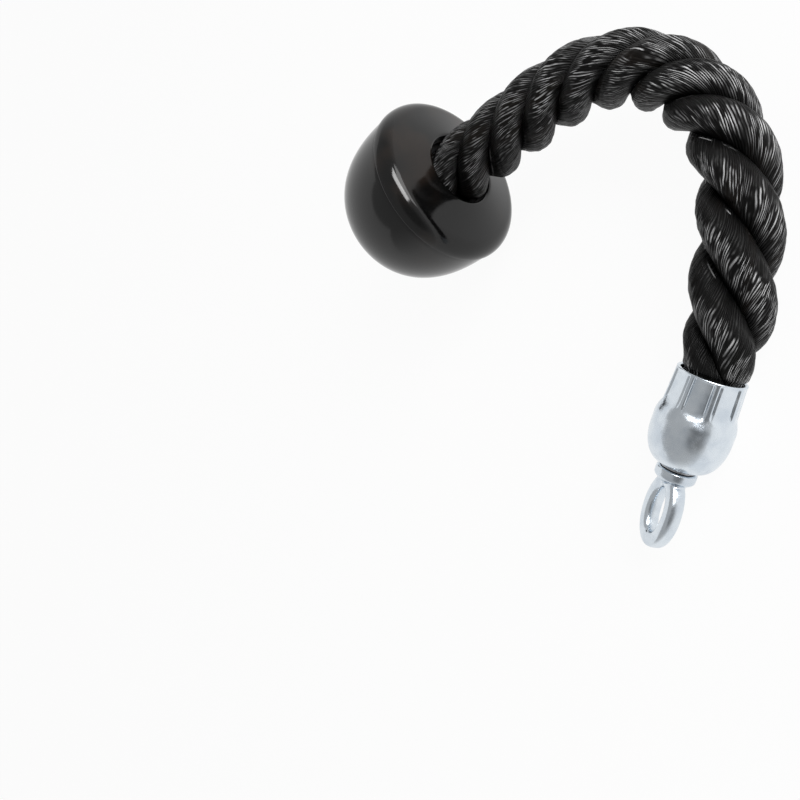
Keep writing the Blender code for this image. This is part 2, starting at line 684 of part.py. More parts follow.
def print_frames(frames):
    """Prints the joints' places and axes in the world."""
    bpy.context.view_layer.update()
    for name, frame in frames.items():
        place = frame.matrix_world
        print(name, "at", [round(value, 5) for value in place.translation])
        for axis in range(3):
            print("   ", "xyz"[axis], [round(value, 5) for value in place.col[axis][:3]])


def main():
    """Builds the object and lays it on the ground."""
    clear_scene()
    parts = make_collection("triceps_rope_attachment")
    cutters = make_collection("cutters")
    materials = {name: make_material(name) for name in COLOURS}
    flat = (Vector((1.0, 0.0, 0.0)), Vector((0.0, 1.0, 0.0)), Vector((0.0, 0.0, 1.0)))
    bend = frame_empty("bend_frame", Vector(), *flat, None)
    pivot = centre(PIVOT_SHARE * ROPE_FREE_LENGTH)
    seam = centre(0.0) - along(0.0) * FACE_HEIGHT
    mouth = centre(ROPE_FREE_LENGTH)
    frames = {
        "bend": bend,
        "pivot": frame_empty("pivot_frame", pivot, *flat, bend),
        "stopper": frame_empty("stopper_frame", seam, left_of(0.0), flat[2], along(0.0), bend),
        "cup": frame_empty(
            "cup_frame", mouth, -left_of(ROPE_FREE_LENGTH), flat[2], -along(ROPE_FREE_LENGTH), bend
        ),
    }
    turn = Matrix.Rotation(math.radians(EYE_TURN_DEG), 3, "Z")
    frames["eye"] = frame_empty("eye_frame", Vector(), *turn.transposed(), frames["cup"])
    make_rope(parts, frames["pivot"], pivot, materials["rope"])
    make_stopper_dome(parts, frames["stopper"], materials["stopper"])
    make_stopper_face(parts, frames["stopper"], materials["stopper"])
    make_stop_washer(parts, frames["stopper"], materials["dull_steel"])
    make_clamp_ring(parts, frames["stopper"], materials["dull_steel"])
    make_end_tapes(parts, frames, materials["tape"])
    make_cup(parts, frames["cup"], materials["plated_steel"])
    make_eye_washers(parts, frames["eye"], materials["dull_steel"])
    make_nut(parts, cutters, frames["eye"], materials["dull_steel"])
    make_eye(parts, cutters, frames["eye"], materials["plated_steel"])
    seat_on_ground(bend, parts)
    print_frames(frames)


main()
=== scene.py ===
"""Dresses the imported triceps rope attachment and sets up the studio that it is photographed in.

Lengths are in metres. The rope lies bent in one plane: the bend frame has its origin where the rope
leaves the stopper, and its X and Y axes lie in that plane. Along the rope, s is the distance from there.
"""

from __future__ import annotations

import json
import logging
import math
from collections.abc import Callable, Sequence
from dataclasses import dataclass, field
from enum import Enum

import bmesh
import bpy
import numpy as np
from mathutils import Matrix, Vector

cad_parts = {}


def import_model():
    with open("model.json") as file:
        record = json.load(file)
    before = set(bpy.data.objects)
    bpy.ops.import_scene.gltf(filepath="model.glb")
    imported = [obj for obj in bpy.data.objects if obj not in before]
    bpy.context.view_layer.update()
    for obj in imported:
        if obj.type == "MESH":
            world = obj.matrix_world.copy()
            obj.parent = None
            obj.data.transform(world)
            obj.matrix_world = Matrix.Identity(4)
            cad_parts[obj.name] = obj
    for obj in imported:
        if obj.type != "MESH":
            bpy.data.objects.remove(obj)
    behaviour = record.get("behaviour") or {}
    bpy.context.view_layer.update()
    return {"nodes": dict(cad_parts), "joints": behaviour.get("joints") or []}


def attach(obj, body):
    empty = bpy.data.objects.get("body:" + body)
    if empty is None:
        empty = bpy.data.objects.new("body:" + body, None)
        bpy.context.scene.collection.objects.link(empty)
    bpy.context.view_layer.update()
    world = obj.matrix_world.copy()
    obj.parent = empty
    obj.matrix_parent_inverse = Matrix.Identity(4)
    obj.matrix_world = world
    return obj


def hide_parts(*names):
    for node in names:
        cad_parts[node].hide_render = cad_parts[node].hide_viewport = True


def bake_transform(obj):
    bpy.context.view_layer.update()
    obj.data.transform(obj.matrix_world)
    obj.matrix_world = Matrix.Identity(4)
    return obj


LOG = logging.getLogger("triceps_rope")
MM = 0.001
TURN = 2.0 * math.pi
MERGE_DISTANCE = 0.002 * MM
Pair = tuple[float, float]
Triple = tuple[float, float, float]
Press = Callable[[np.ndarray, np.ndarray, np.ndarray], np.ndarray]


class Lay(Enum):
    """Which way the strands wind round the rope, as the sign of their turn."""

    LEFT_HANDED = -1.0
    RIGHT_HANDED = 1.0


class Half(Enum):
    """The two halves that the rope's joint divides each strand into."""

    GRIP = "grip"
    FERRULE = "ferrule"


def eased(share: np.ndarray | float) -> np.ndarray:
    """Eases from 0 to 1 as share goes from 0 to 1, and stays there on both sides."""
    t = np.clip(share, 0.0, 1.0)
    return t * t * (3.0 - 2.0 * t)


def bell(distance: np.ndarray | float, width: float) -> np.ndarray:
    """A bell curve that is 1 at no distance and fades over width."""
    return np.exp(-((np.asarray(distance) / width) ** 2))


def ripple(seed: int, *coordinates: np.ndarray) -> np.ndarray:
    """Soft irregular waves between about -1 and 1, the same in every run.

    Args:
        seed: Chooses the waves.
        coordinates: Arrays of one shape, in which one unit is about one wave.

    Returns:
        An array of the coordinates' shape.
    """
    waves, crest = 7, 2.6
    dice = np.random.default_rng(seed)
    total = np.zeros(np.broadcast(*coordinates).shape)
    for _ in range(waves):
        turn = dice.uniform(0.0, TURN)
        rates = dice.normal(0.0, 1.0, len(coordinates))
        rates *= dice.uniform(0.6, 1.5) * TURN / max(float(np.linalg.norm(rates)), 0.2)
        total = total + np.sin(sum(rate * value for rate, value in zip(rates, coordinates)) + turn)
    return total / crest


# The frame of the bend and the rope's route


@dataclass(frozen=True)
class BendFrame:
    """Where the plane of the rope's bend lies in the world."""

    origin: Vector
    x_axis: Vector
    y_axis: Vector
    z_axis: Vector

    @classmethod
    def from_joints(cls, joints: Sequence[dict], route: RopeRoute) -> BendFrame:
        """Finds the frame from the model's own joints.

        Args:
            joints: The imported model's joints.
            route: The rope's route, which gives the same places in the plane of the bend.

        Returns:
            The frame of the bend.
        """
        by_name = {joint["name"]: joint for joint in joints}
        z_axis = Vector(by_name["rope_flex"]["axis"]).normalized()
        start = Vector(by_name["stopper_turn"]["axis"]).normalized()
        start = (start - z_axis * start.dot(z_axis)).normalized()
        aside = z_axis.cross(start)
        angle = float(route.heading(np.zeros(1))[0])
        x_axis = start * math.cos(angle) - aside * math.sin(angle)
        y_axis = start * math.sin(angle) + aside * math.cos(angle)
        middle = route.middle(np.array([route.pivot_share * route.free_length]))[0]
        origin = Vector(by_name["rope_flex"]["pos_m"]) - x_axis * middle[0] - y_axis * middle[1]
        return cls(origin, x_axis, y_axis, z_axis)

    def to_world(self, points: np.ndarray) -> np.ndarray:
        """Points of the bend frame, one a row, in the world."""
        axes = np.array([self.x_axis, self.y_axis, self.z_axis])
        return np.asarray(points) @ axes + np.array(self.origin)


@dataclass(frozen=True)
class Axis:
    """A place with three axes in the world, which a turned piece is built round."""

    origin: np.ndarray
    x_axis: np.ndarray
    y_axis: np.ndarray
    z_axis: np.ndarray

    def place(self, points: np.ndarray) -> np.ndarray:
        """Points of this frame, one a row, in the world."""
        return np.asarray(points) @ np.array([self.x_axis, self.y_axis, self.z_axis]) + self.origin

    def moved(self, distance: float) -> Axis:
        """The same frame moved along its Z axis."""
        return Axis(self.origin + self.z_axis * distance, self.x_axis, self.y_axis, self.z_axis)

    def turned(self, angle: float) -> Axis:
        """The same place with its X and Y axes turned about Z.

        Args:
            angle: How far they are turned, in radians.

        Returns:
            The turned frame.
        """
        c, s = math.cos(angle), math.sin(angle)
        x_axis = self.x_axis * c + self.y_axis * s
        y_axis = self.y_axis * c - self.x_axis * s
        return Axis(self.origin, x_axis, y_axis, self.z_axis)


@dataclass(frozen=True)
class RopeRoute:
    """The rope's centreline and how its radius changes along it."""

    radius: float = 15.0 * MM
    free_length: float = 228.4 * MM
    tail: float = 24.3 * MM
    tuck: float = 21.9 * MM
    lay_length: float = 61.3 * MM
    lay_start_deg: float = 89.0
    bend_lead: float = 5.4 * MM
    bend_lead_width: float = 34.0 * MM
    bend_lead_share: float = 0.645
    mouth_lag: float = 4.5 * MM
    mouth_lag_length: float = 50.0 * MM
    lay: Lay = Lay.LEFT_HANDED
    headings_deg: tuple[float, ...] = (
        21.2, 21.7, 19.6, 8.7, -11.4, -33.5, -55.4, -78.9, -94.3, -99.4, -112.3
    )
    pivot_share: float = 0.55
    squeeze_share: float = 0.5
    mouth_squeeze: float = 17.0 * MM
    mouth_radius: float = 12.0 * MM
    bore_squeeze: float = 1.8 * MM
    neck_radius: float = 10.9 * MM
    clamp_squeeze: float = 4.5 * MM
    clamp_radius: float = 13.0 * MM
    clamp_start: float = -6.2 * MM
    steps: int = 2400

    @property
    def inner_end(self) -> float:
        """Where the rope ends inside the cup, as a distance along it."""
        return self.free_length + self.tuck

    @property
    def length(self) -> float:
        """The rope's whole length, with its hidden ends."""
        return self.tail + self.free_length + self.tuck

    def heading(self, s: np.ndarray) -> np.ndarray:
        """The rope's direction in the plane of the bend, on a smooth curve through the listed headings.

        Args:
            s: The distances along the rope.

        Returns:
            The directions in radians.
        """
        listed = np.array(self.headings_deg)
        listed = np.concatenate([[2 * listed[0] - listed[1]], listed, [2 * listed[-1] - listed[-2]]])
        spans = len(listed) - 3
        place = np.clip(np.asarray(s) / self.free_length, 0.0, 1.0) * spans
        span = np.minimum(place.astype(int), spans - 1)
        t = place - span
        before, start, end, after = (listed[span + step] for step in range(4))
        lead_in = (end - before) / 2 * t * (1.0 - t) ** 2
        lead_out = (after - start) / 2 * t**2 * (1.0 - t)
        return np.radians(start + (end - start) * eased(t) + lead_in - lead_out)

    def turn_rate(self, s: np.ndarray) -> np.ndarray:
        """How sharply the rope bends at s: its radius as a share of the bend's radius."""
        half = self.radius / 2
        return np.maximum(0.0, self.heading(s - half) - self.heading(s + half))

    def middle(self, s: np.ndarray) -> np.ndarray:
        """The centreline, added up from the rope's direction in small steps.

        Args:
            s: The distances along the rope.

        Returns:
            The points at s, one a row, in the bend frame.
        """
        fine = np.linspace(-self.tail, self.inner_end, self.steps)
        half = (fine[1:] + fine[:-1]) / 2
        step = np.diff(fine)
        x = np.concatenate([[0.0], np.cumsum(np.cos(self.heading(half)) * step)])
        y = np.concatenate([[0.0], np.cumsum(np.sin(self.heading(half)) * step)])
        x = np.interp(s, fine, x) - np.interp(0.0, fine, x)
        y = np.interp(s, fine, y) - np.interp(0.0, fine, y)
        return np.stack([x, y, np.zeros_like(x)], axis=-1)

    def along(self, s: np.ndarray) -> np.ndarray:
        """The rope's directions at s, one a row, in the bend frame."""
        angle = self.heading(s)
        return np.stack([np.cos(angle), np.sin(angle), np.zeros_like(angle)], axis=-1)

    def left(self, s: np.ndarray) -> np.ndarray:
        """The directions to the rope's left at s, one a row, in the bend frame."""
        angle = self.heading(s)
        return np.stack([-np.sin(angle), np.cos(angle), np.zeros_like(angle)], axis=-1)

    def share(self, s: np.ndarray) -> np.ndarray:
        """How far the rope is squeezed into the cup's mouth and neck and into the clamp ring.

        Args:
            s: The distances along the rope.

        Returns:
            Its radius at s as a share of its full one.
        """
        mouth = 1.0 - self.mouth_radius / self.radius
        neck = 1.0 - self.neck_radius / self.radius
        clamp = 1.0 - self.clamp_radius / self.radius
        to_mouth = eased((s - self.free_length + self.mouth_squeeze) / self.mouth_squeeze)
        into_neck = eased((s - self.free_length + self.bore_squeeze) / self.bore_squeeze)
        into_clamp = eased((self.clamp_start + self.clamp_squeeze - s) / self.clamp_squeeze)
        return 1.0 - mouth * to_mouth - (neck - mouth) * into_neck - clamp * into_clamp

    def lay_place(self, s: np.ndarray) -> np.ndarray:
        """The distance that the lay has reached: crowded before the sharpest bend, and open at its end.

        Args:
            s: The distances along the rope.

        Returns:
            The distances along an evenly laid rope at which its strands would lie as they do at s.
        """
        from_bend = s - self.bend_lead_share * self.free_length
        into_mouth = eased((s - self.free_length + self.mouth_lag_length) / self.mouth_lag_length)
        return s + self.bend_lead * bell(from_bend, self.bend_lead_width) - self.mouth_lag * into_mouth

    def strand_angle(self, s: np.ndarray, number: int, count: int) -> np.ndarray:
        """The angle round the rope at which a strand lies at s."""
        turned = number / count + self.lay.value * self.lay_place(s) / self.lay_length
        return math.radians(self.lay_start_deg) + TURN * turned


# Meshes


def mesh_from_grid(name: str, rows: np.ndarray, around: bool) -> bpy.types.Mesh:
    """A mesh whose points lie in rows, joined by quads.

    Args:
        name: The mesh's name.
        rows: An array of rows, points and coordinates.
        around: Whether each row closes on itself.

    Returns:
        The mesh, smoothly shaded.
    """
    faces = grid_faces(*rows.shape[:2], around)
    mesh = bpy.data.meshes.new(name)
    mesh.from_pydata(rows.reshape(-1, 3).tolist(), [], faces.tolist())
    mesh.update()
    mesh.shade_smooth()
    return mesh


def grid_faces(count: int, wide: int, around: bool) -> np.ndarray:
    """The quads that join rows of points.

    Args:
        count: How many rows there are.
        wide: How many points a row has.
        around: Whether each row closes on itself.

    Returns:
        The indexes of each quad's four corners.
    """
    row = np.arange(count - 1)[:, None] * wide
    first = np.arange(wide if around else wide - 1)[None, :]
    second = (first + 1) % wide
    corners = [row + first, row + second, row + wide + second, row + wide + first]
    return np.stack(corners, axis=-1).reshape(-1, 4)


def outward(mesh: bpy.types.Mesh, sources: Sequence[bpy.types.Mesh] = (), merged: bool = False) -> None:
    """Turns every face of a closed mesh outwards.

    Args:
        mesh: The mesh that takes the result.
        sources: The meshes that it is made of, or none for the mesh itself.
        merged: Whether points that fall together are made one first.
    """
    shape = bmesh.new()
    for source in sources or (mesh,):
        shape.from_mesh(source)
    if merged:
        bmesh.ops.remove_doubles(shape, verts=shape.verts, dist=MERGE_DISTANCE)
    bmesh.ops.recalc_face_normals(shape, faces=shape.faces)
    shape.to_mesh(mesh)
    shape.free()


def set_attribute(mesh: bpy.types.Mesh, name: str, values: np.ndarray) -> None:
    """Stores three numbers at each point of a mesh under a name."""
    attribute = mesh.attributes.new(name, "FLOAT_VECTOR", "POINT")
    attribute.data.foreach_set("vector", np.asarray(values, dtype=np.float32).reshape(-1))


def add_piece(name: str, mesh: bpy.types.Mesh, material: bpy.types.Material) -> bpy.types.Object:
    """Puts a mesh into the scene.

    Args:
        name: The piece's name.
        mesh: Its mesh.
        material: Its finish.

    Returns:
        The new object.
    """
    piece = bpy.data.objects.new(name, mesh)
    bpy.context.scene.collection.objects.link(piece)
    mesh.materials.clear()
    mesh.materials.append(material)
    return piece


def applied(piece: bpy.types.Object) -> None:
    """Puts a piece's modifiers into its mesh and takes them off.

    Args:
        piece: The piece.
    """
    bpy.context.view_layer.update()
    graph = bpy.context.evaluated_depsgraph_get()
    mesh = bpy.data.meshes.new_from_object(piece.evaluated_get(graph))
    piece.modifiers.clear()
    piece.data = mesh


def arc(middle: Pair, reach: Pair, start_deg: float, end_deg: float, count: int) -> list[Pair]:
    """Points of radius and height along an ellipse's arc, for a turned outline."""
    angles = np.radians(np.linspace(start_deg, end_deg, count))
    return [(middle[0] + reach[0] * math.cos(a), middle[1] + reach[1] * math.sin(a)) for a in angles]


def straight(first: Pair, second: Pair, count: int) -> list[Pair]:
    """Points of radius and height along a straight line, its two ends left out."""
    shares = np.linspace(0.0, 1.0, count + 2)[1:-1]
    return [tuple(low + (high - low) * t for low, high in zip(first, second)) for t in shares]


def turned_mesh(
    name: str, outline: Sequence[Pair], axis: Axis, steps: int, press: Press | None = None
) -> bpy.types.Mesh:
    """A turned mesh from an outline, whose points may then be pressed in.

    Args:
        name: The mesh's name.
        outline: Points of radius and height; a point on the axis has radius 0.
        axis: The frame that it is turned round, along its Z axis.
        steps: How many points lie round it.
        press: Takes radius, angle and height of all points, and returns their new radius.

    Returns:
        The mesh, closed where its outline closes or ends on the axis, with the local place of each
        point in the attribute "local".
    """
    on_axis = outline[0][0] == 0.0 and outline[-1][0] == 0.0
    points = np.array(outline if on_axis else [*outline, outline[0]])
    angles = np.arange(steps) * TURN / steps
    radius = np.repeat(points[:, :1], steps, axis=1)
    height = np.repeat(points[:, 1:], steps, axis=1)
    angle = np.repeat(angles[None, :], len(points), axis=0)
    if press is not None:
        radius = press(radius, angle, height)
    local = np.stack([radius * np.cos(angle), radius * np.sin(angle), height], axis=-1)
    mesh = mesh_from_grid(name, axis.place(local), True)
    set_attribute(mesh, "local", local)
    outward(mesh, merged=True)
    return mesh


# Finishes


Colour = Triple
Socket = bpy.types.NodeSocket
Feed = Socket | float | Sequence[float]
WHITE: Colour = (1.0, 1.0, 1.0)


def paint(colour: Colour) -> tuple[float, float, float, float]:
    """A colour as a socket takes it."""
    return (*colour, 1.0)


class Wiring:
    """A node tree, with a short call for each kind of node that the finishes and the room use."""

    def __init__(self, tree: bpy.types.NodeTree) -> None:
        """Keeps the tree that the calls add to."""
        self.tree = tree

    def node(self, kind: str, **inputs: Feed) -> bpy.types.Node:
        """Adds a node.

        Args:
            kind: The kind of node.
            inputs: What goes into its named inputs, with spaces written as underscores.

        Returns:
            The node.
        """
        node = self.tree.nodes.new(kind)
        for name, value in inputs.items():
            self.feed(node.inputs[name.replace("_", " ")], value)
        return node

    def feed(self, entry: Socket, value: Feed) -> None:
        """Links a socket to an input, or writes a plain value in it.

        Args:
            entry: The input.
            value: The socket or the plain value.
        """
        if isinstance(value, Socket):
            self.tree.links.new(value, entry)
        else:
            entry.default_value = value

    def sum_up(self, operation: str, *values: Feed, clamp: bool = False) -> Socket:
        """Adds a Math node.

        Args:
            operation: What it works out.
            values: What it works with, in order.
            clamp: Whether its result is held between 0 and 1.

        Returns:
            The result.
        """
        node = self.node("ShaderNodeMath")
        node.operation = operation
        node.use_clamp = clamp
        for entry, value in zip(node.inputs, values):
            self.feed(entry, value)
        return node.outputs[0]

    def product(self, first: Feed, *others: Feed) -> Feed:
        """Multiplies values.

        Args:
            first: The first value.
            others: The values that it is multiplied by, in order.

        Returns:
            The product.
        """
        total = first
        for value in others:
            total = self.sum_up("MULTIPLY", total, value)
        return total

    def spread(self, value: Feed, source: Pair, goal: Pair = (0.0, 1.0)) -> Socket:
        """Carries a value from one range smoothly to another and holds it there.

        Args:
            value: The value.
            source: The range that it comes from.
            goal: What that range's two ends become.

        Returns:
            The new value.
        """
        node = self.node("ShaderNodeMapRange", Value=value)
        node.interpolation_type = "SMOOTHSTEP"
        for name, number in zip(("From Min", "From Max", "To Min", "To Max"), (*source, *goal)):
            node.inputs[name].default_value = number
        return node.outputs["Result"]


class Sheet(Wiring):
    """A material's node tree."""

    def __init__(self, name: str) -> None:
        """Starts a material with a Principled shader.

        Args:
            name: The material's name.
        """
        self.material = bpy.data.materials.new(name)
        self.material.use_nodes = True
        super().__init__(self.material.node_tree)
        self.shader = self.tree.nodes["Principled BSDF"]

    def attribute(self, name: str) -> Socket:
        """Reads what a mesh stores at each point.

        Args:
            name: The name that three numbers are stored under.

        Returns:
            The three numbers as a vector.
        """
        node = self.node("ShaderNodeAttribute")
        node.attribute_name = name
        return node.outputs["Vector"]

    def object_place(self) -> Socket:
        """The place in the object's own frame."""
        return self.node("ShaderNodeTexCoord").outputs["Object"]

    def split(self, vector: Socket) -> tuple[Socket, ...]:
        """The three parts of a vector."""
        return tuple(self.node("ShaderNodeSeparateXYZ", Vector=vector).outputs)

    def join(self, x: Feed, y: Feed, z: Feed) -> Socket:
        """A vector from three parts."""
        return self.node("ShaderNodeCombineXYZ", X=x, Y=y, Z=z).outputs["Vector"]

    def noise(self, place: Socket, scale: float, detail: float = 2.0, roughness: float = 0.5) -> Socket:
        """Noise between 0 and 1."""
        node = self.node("ShaderNodeTexNoise", Vector=place, Scale=scale, Detail=detail, Roughness=roughness)
        return node.outputs["Fac"]

    def blend(self, share: Feed, first: Feed, second: Feed) -> Socket:
        """Mixes two colours.

        Args:
            share: How much of the second there is.
            first: The first colour.
            second: The second colour.

        Returns:
            The colour between them.
        """
        node = self.node("ShaderNodeMix")
        node.data_type = "RGBA"
        colours = [entry for entry in node.inputs if entry.type == "RGBA"]
        for entry, value in zip((node.inputs[0], *colours), (share, first, second)):
            self.feed(entry, value)
        return next(result for result in node.outputs if result.type == "RGBA")

    def bump(self, height: Feed, depth: float, strength: float, below: Socket | None = None) -> Socket:
        """Bumps the surface.

        Args:
            height: The height, from 0 to 1.
            depth: How far a height of 1 stands proud, in metres.
            strength: The bump's strength.
            below: The normal of a bump that this one lies on.

        Returns:
            The bumped normal.
        """
        node = self.node("ShaderNodeBump", Height=height, Distance=depth, Strength=strength)
        if below is not None:
            self.feed(node.inputs["Normal"], below)
        return node.outputs["Normal"]

    def finish(self, **inputs: Feed) -> bpy.types.Material:
        """Fills the shader.

        Args:
            inputs: What goes into its named inputs, with spaces written as underscores.

        Returns:
            The material.
        """
        for name, value in inputs.items():
            self.feed(self.shader.inputs[name.replace("_", " ")], value)
        return self.material


@dataclass(frozen=True)
class RopeFibre:
    """Black laid rope: fine glossy yarns, with painted highlights in short strokes and painted shade in its
    grooves.

    Each pair of rates says how fast a noise changes with the bundles round the strand and with the
    distance along it. Each range holds the two values between which something goes from none to full.
    """

    name: str = "rope_fibre"
    # Colour in the grooves: painted shade, darker than the yarns.
    groove: Colour = (0.0016, 0.0016, 0.0016)
    yarn: Colour = (0.0040, 0.0039, 0.0038)
    # Colour of the painted highlight strokes on the yarns.
    painted_highlight: Colour = (0.57, 0.57, 0.575)
    warm: Colour = (0.0085, 0.0065, 0.0050)
    warm_share: float = 0.7
    shine: float = 0.09
    roughness: Pair = (0.42, 0.28)
    yarns_a_bundle: float = 3.6
    yarn_roundness: float = 1.8
    yarn_depth: float = 0.30 * MM
    filament_depth: float = 0.09 * MM
    wander_rates: Pair = (0.9, 150.0)
    stroke_rates: Pair = (3.7, 190.0)
    patch_rates: Pair = (0.45, 75.0)
    filament_rates: Pair = (2.6, 170.0)
    tint_rates: Pair = (0.3, 28.0)
    groove_shade_range: Pair = (0.05, 0.85)
    crest_range: Pair = (0.58, 0.99)
    stroke_range: Pair = (0.40, 0.58)
    filament_range: Pair = (0.36, 0.60)
    patch_range: Pair = (0.32, 0.58)
    tint_range: Pair = (0.55, 0.72)
    # Across each strand the painted highlight keeps to a band on one side; outside it the flank stays dark as
    # painted shade.
    lit_band_start: Pair = (-0.26, 0.14)
    lit_band_end: Pair = (0.60, 0.94)
    lit_band_teeth: float = 1.3
    lit_band_floor: float = 0.03
    # The painted highlight is halved close to the stopper.
    stopper_fade_share: float = 0.5
    stopper_fade_range: Pair = (0.015, 0.085)
    # A thin painted highlight line along one edge of each strand, fading out towards the ferrule.
    edge_highlight_line: Triple = (-0.91, -0.885, -0.86)
    edge_highlight_share: float = 0.6
    edge_highlight_patches: Pair = (0.49, 0.62)
    edge_highlight_end: Pair = (0.185, 0.21)

    def place(self, sheet: Sheet, across: Feed, along: Feed, rates: Pair) -> Socket:
        """A place for noise that is drawn out along the yarns, different on each strand.

        Args:
            sheet: The material's tree.
            across: The count of bundles round the strand.
            along: The distance along the rope.
            rates: How fast the noise changes with each of the two.

        Returns:
            The place as a vector.
        """
        strand, _, _ = sheet.split(sheet.attribute("strand"))
        return sheet.join(sheet.product(across, rates[0]), sheet.product(along, rates[1]), strand)

    def painted_highlight_mask(
        self, sheet: Sheet, ridge: Socket, strokes: Socket, filament: Socket, patches: Socket
    ) -> Socket:
        """How much painted highlight the yarns' colour gets, in strokes within each strand's lit band and
        along its edge.

        Args:
            sheet: The material's tree.
            ridge: How near a place is to the crest of its yarn.
            strokes: Noise that changes from yarn to yarn.
            filament: Finer noise within a yarn.
            patches: Noise that spans many yarns.

        Returns:
            The share of painted highlight, from 0 to 1.
        """
        _, along, _ = sheet.split(sheet.attribute("lay"))
        _, side, _ = sheet.split(sheet.attribute("strand"))
        teeth = sheet.product(sheet.sum_up("SUBTRACT", strokes, 0.5), self.lit_band_teeth)
        # Painted highlight only within a band on one side of each strand; the other flank stays dark as
        # painted shade.
        band = sheet.product(
            sheet.spread(sheet.sum_up("ADD", side, teeth), self.lit_band_start, (self.lit_band_floor, 1.0)),
            sheet.spread(side, self.lit_band_end, (1.0, self.lit_band_floor)),
        )
        lit = sheet.product(
            sheet.spread(ridge, self.crest_range),
            sheet.spread(strokes, self.stroke_range),
            sheet.spread(filament, self.filament_range, (0.3, 1.0)),
            sheet.spread(patches, self.patch_range, (0.25, 1.0)),
            band,
            # The painted highlight is halved close to the stopper.
            sheet.spread(along, self.stopper_fade_range, (self.stopper_fade_share, 1.0)),
        )
        # Painted highlight: a thin bright line along the strand's edge.
        edge = sheet.product(
            sheet.spread(side, self.edge_highlight_line[:2]),
            sheet.spread(side, self.edge_highlight_line[1:], (1.0, 0.0)),
            sheet.spread(patches, self.edge_highlight_patches, (0.0, self.edge_highlight_share)),
            sheet.spread(along, self.edge_highlight_end, (1.0, 0.0)),
        )
        return sheet.sum_up("MAXIMUM", lit, edge, clamp=True)

    def make(self) -> bpy.types.Material:
        """Builds the material from the attributes "lay" and "strand" of the rope's mesh.

        Returns:
            The material.
        """
        sheet = Sheet(self.name)
        bundles, along, proud = sheet.split(sheet.attribute("lay"))
        wander = sheet.noise(self.place(sheet, bundles, along, self.wander_rates), 1.0, 1.0)
        yarns = sheet.sum_up("ADD", sheet.product(bundles, self.yarns_a_bundle), wander)
        across = sheet.sum_up("MULTIPLY_ADD", sheet.sum_up("FRACT", yarns), 2.0, -1.0)
        fall = sheet.sum_up("POWER", sheet.sum_up("ABSOLUTE", across), self.yarn_roundness)
        ridge = sheet.sum_up("SUBTRACT", 1.0, fall)
        which = sheet.sum_up("FLOOR", yarns)
        strokes = sheet.noise(self.place(sheet, which, along, self.stroke_rates), 1.0, 1.0)
        patches = sheet.noise(self.place(sheet, bundles, along, self.patch_rates), 1.0, 2.0)
        filament = sheet.noise(self.place(sheet, yarns, along, self.filament_rates), 1.0, 2.0, 0.6)
        # Painted shade: the base colour darkens towards the grooves.
        base = sheet.blend(sheet.spread(proud, self.groove_shade_range), paint(self.groove), paint(self.yarn))
        tint = sheet.noise(self.place(sheet, bundles, along, self.tint_rates), 1.0, 1.0)
        warmed = sheet.spread(tint, self.tint_range, (0.0, self.warm_share))
        base = sheet.blend(warmed, base, paint(self.warm))
        lit = self.painted_highlight_mask(sheet, ridge, strokes, filament, patches)
        # Painted highlight: the yarns' colour is lifted to pale grey where the mask says so.
        colour = sheet.blend(lit, base, paint(self.painted_highlight))
        height = sheet.product(ridge, sheet.spread(strokes, (0.3, 0.7), (0.5, 1.0)))
        normal = sheet.bump(height, self.yarn_depth, 1.0)
        normal = sheet.bump(filament, self.filament_depth, 1.0, normal)
        rough = sheet.spread(filament, (0.3, 0.7), self.roughness)
        return sheet.finish(Base_Color=colour, Roughness=rough, Normal=normal, Specular_IOR_Level=self.shine)


@dataclass(frozen=True)
class MouldedPlastic:
    """Glossy black moulded plastic with a faint flow and handling marks."""

    name: str = "moulded_plastic"
    colour: Colour = (0.0026, 0.0026, 0.0026)
    warm: Colour = (0.0125, 0.0085, 0.0064)
    roughness: Pair = (0.08, 0.14)
    refraction: float = 1.44
    flow_depth: float = 0.12 * MM
    grain_depth: float = 0.004 * MM

    def make(self) -> bpy.types.Material:
        """Builds the material from the attribute "local" of the stopper's meshes.

        Returns:
            The material.
        """
        sheet = Sheet(self.name)
        place = sheet.attribute("local")
        cloud = sheet.spread(sheet.noise(place, 38.0, 2.0), (0.50, 0.72))
        colour = sheet.blend(cloud, paint(self.colour), paint(self.warm))
        rough = sheet.spread(sheet.noise(place, 120.0, 4.0, 0.6), (0.3, 0.75), self.roughness)
        normal = sheet.bump(sheet.noise(place, 45.0, 1.0), self.flow_depth, 0.25)
        normal = sheet.bump(sheet.noise(place, 2600.0, 2.0), self.grain_depth, 0.5, normal)
        return sheet.finish(Base_Color=colour, Roughness=rough, Normal=normal, IOR=self.refraction)


@dataclass(frozen=True)
class PlatedSteel:
    """Bright plated steel with a cloudy tint, small dents and fine drawing marks."""

    name: str = "plated_steel"
    colour: Colour = (0.70, 0.755, 0.805)
    clouded: Colour = (0.59, 0.65, 0.715)
    roughness: Pair = (0.17, 0.31)
    mark_rates: Triple = (900.0, 900.0, 60.0)
    mark_depth: float = 0.012 * MM
    dent_depth: float = 0.10 * MM

    def make(self) -> bpy.types.Material:
        """Builds the material from the attribute "local" of the metal meshes.

        Returns:
            The material.
        """
        sheet = Sheet(self.name)
        place = sheet.attribute("local")
        cloud = sheet.spread(sheet.noise(place, 160.0, 3.0), (0.35, 0.7))
        colour = sheet.blend(cloud, paint(self.colour), paint(self.clouded))
        rough = sheet.spread(sheet.noise(place, 420.0, 4.0), (0.3, 0.75), self.roughness)
        drawn = [sheet.product(part, rate) for part, rate in zip(sheet.split(place), self.mark_rates)]
        marks = sheet.noise(sheet.join(*drawn), 1.0, 3.0, 0.6)
        normal = sheet.bump(sheet.noise(place, 240.0, 2.0), self.dent_depth, 0.35)
        normal = sheet.bump(marks, self.mark_depth, 0.6, normal)
        return sheet.finish(Base_Color=colour, Metallic=1.0, Roughness=rough, Normal=normal)


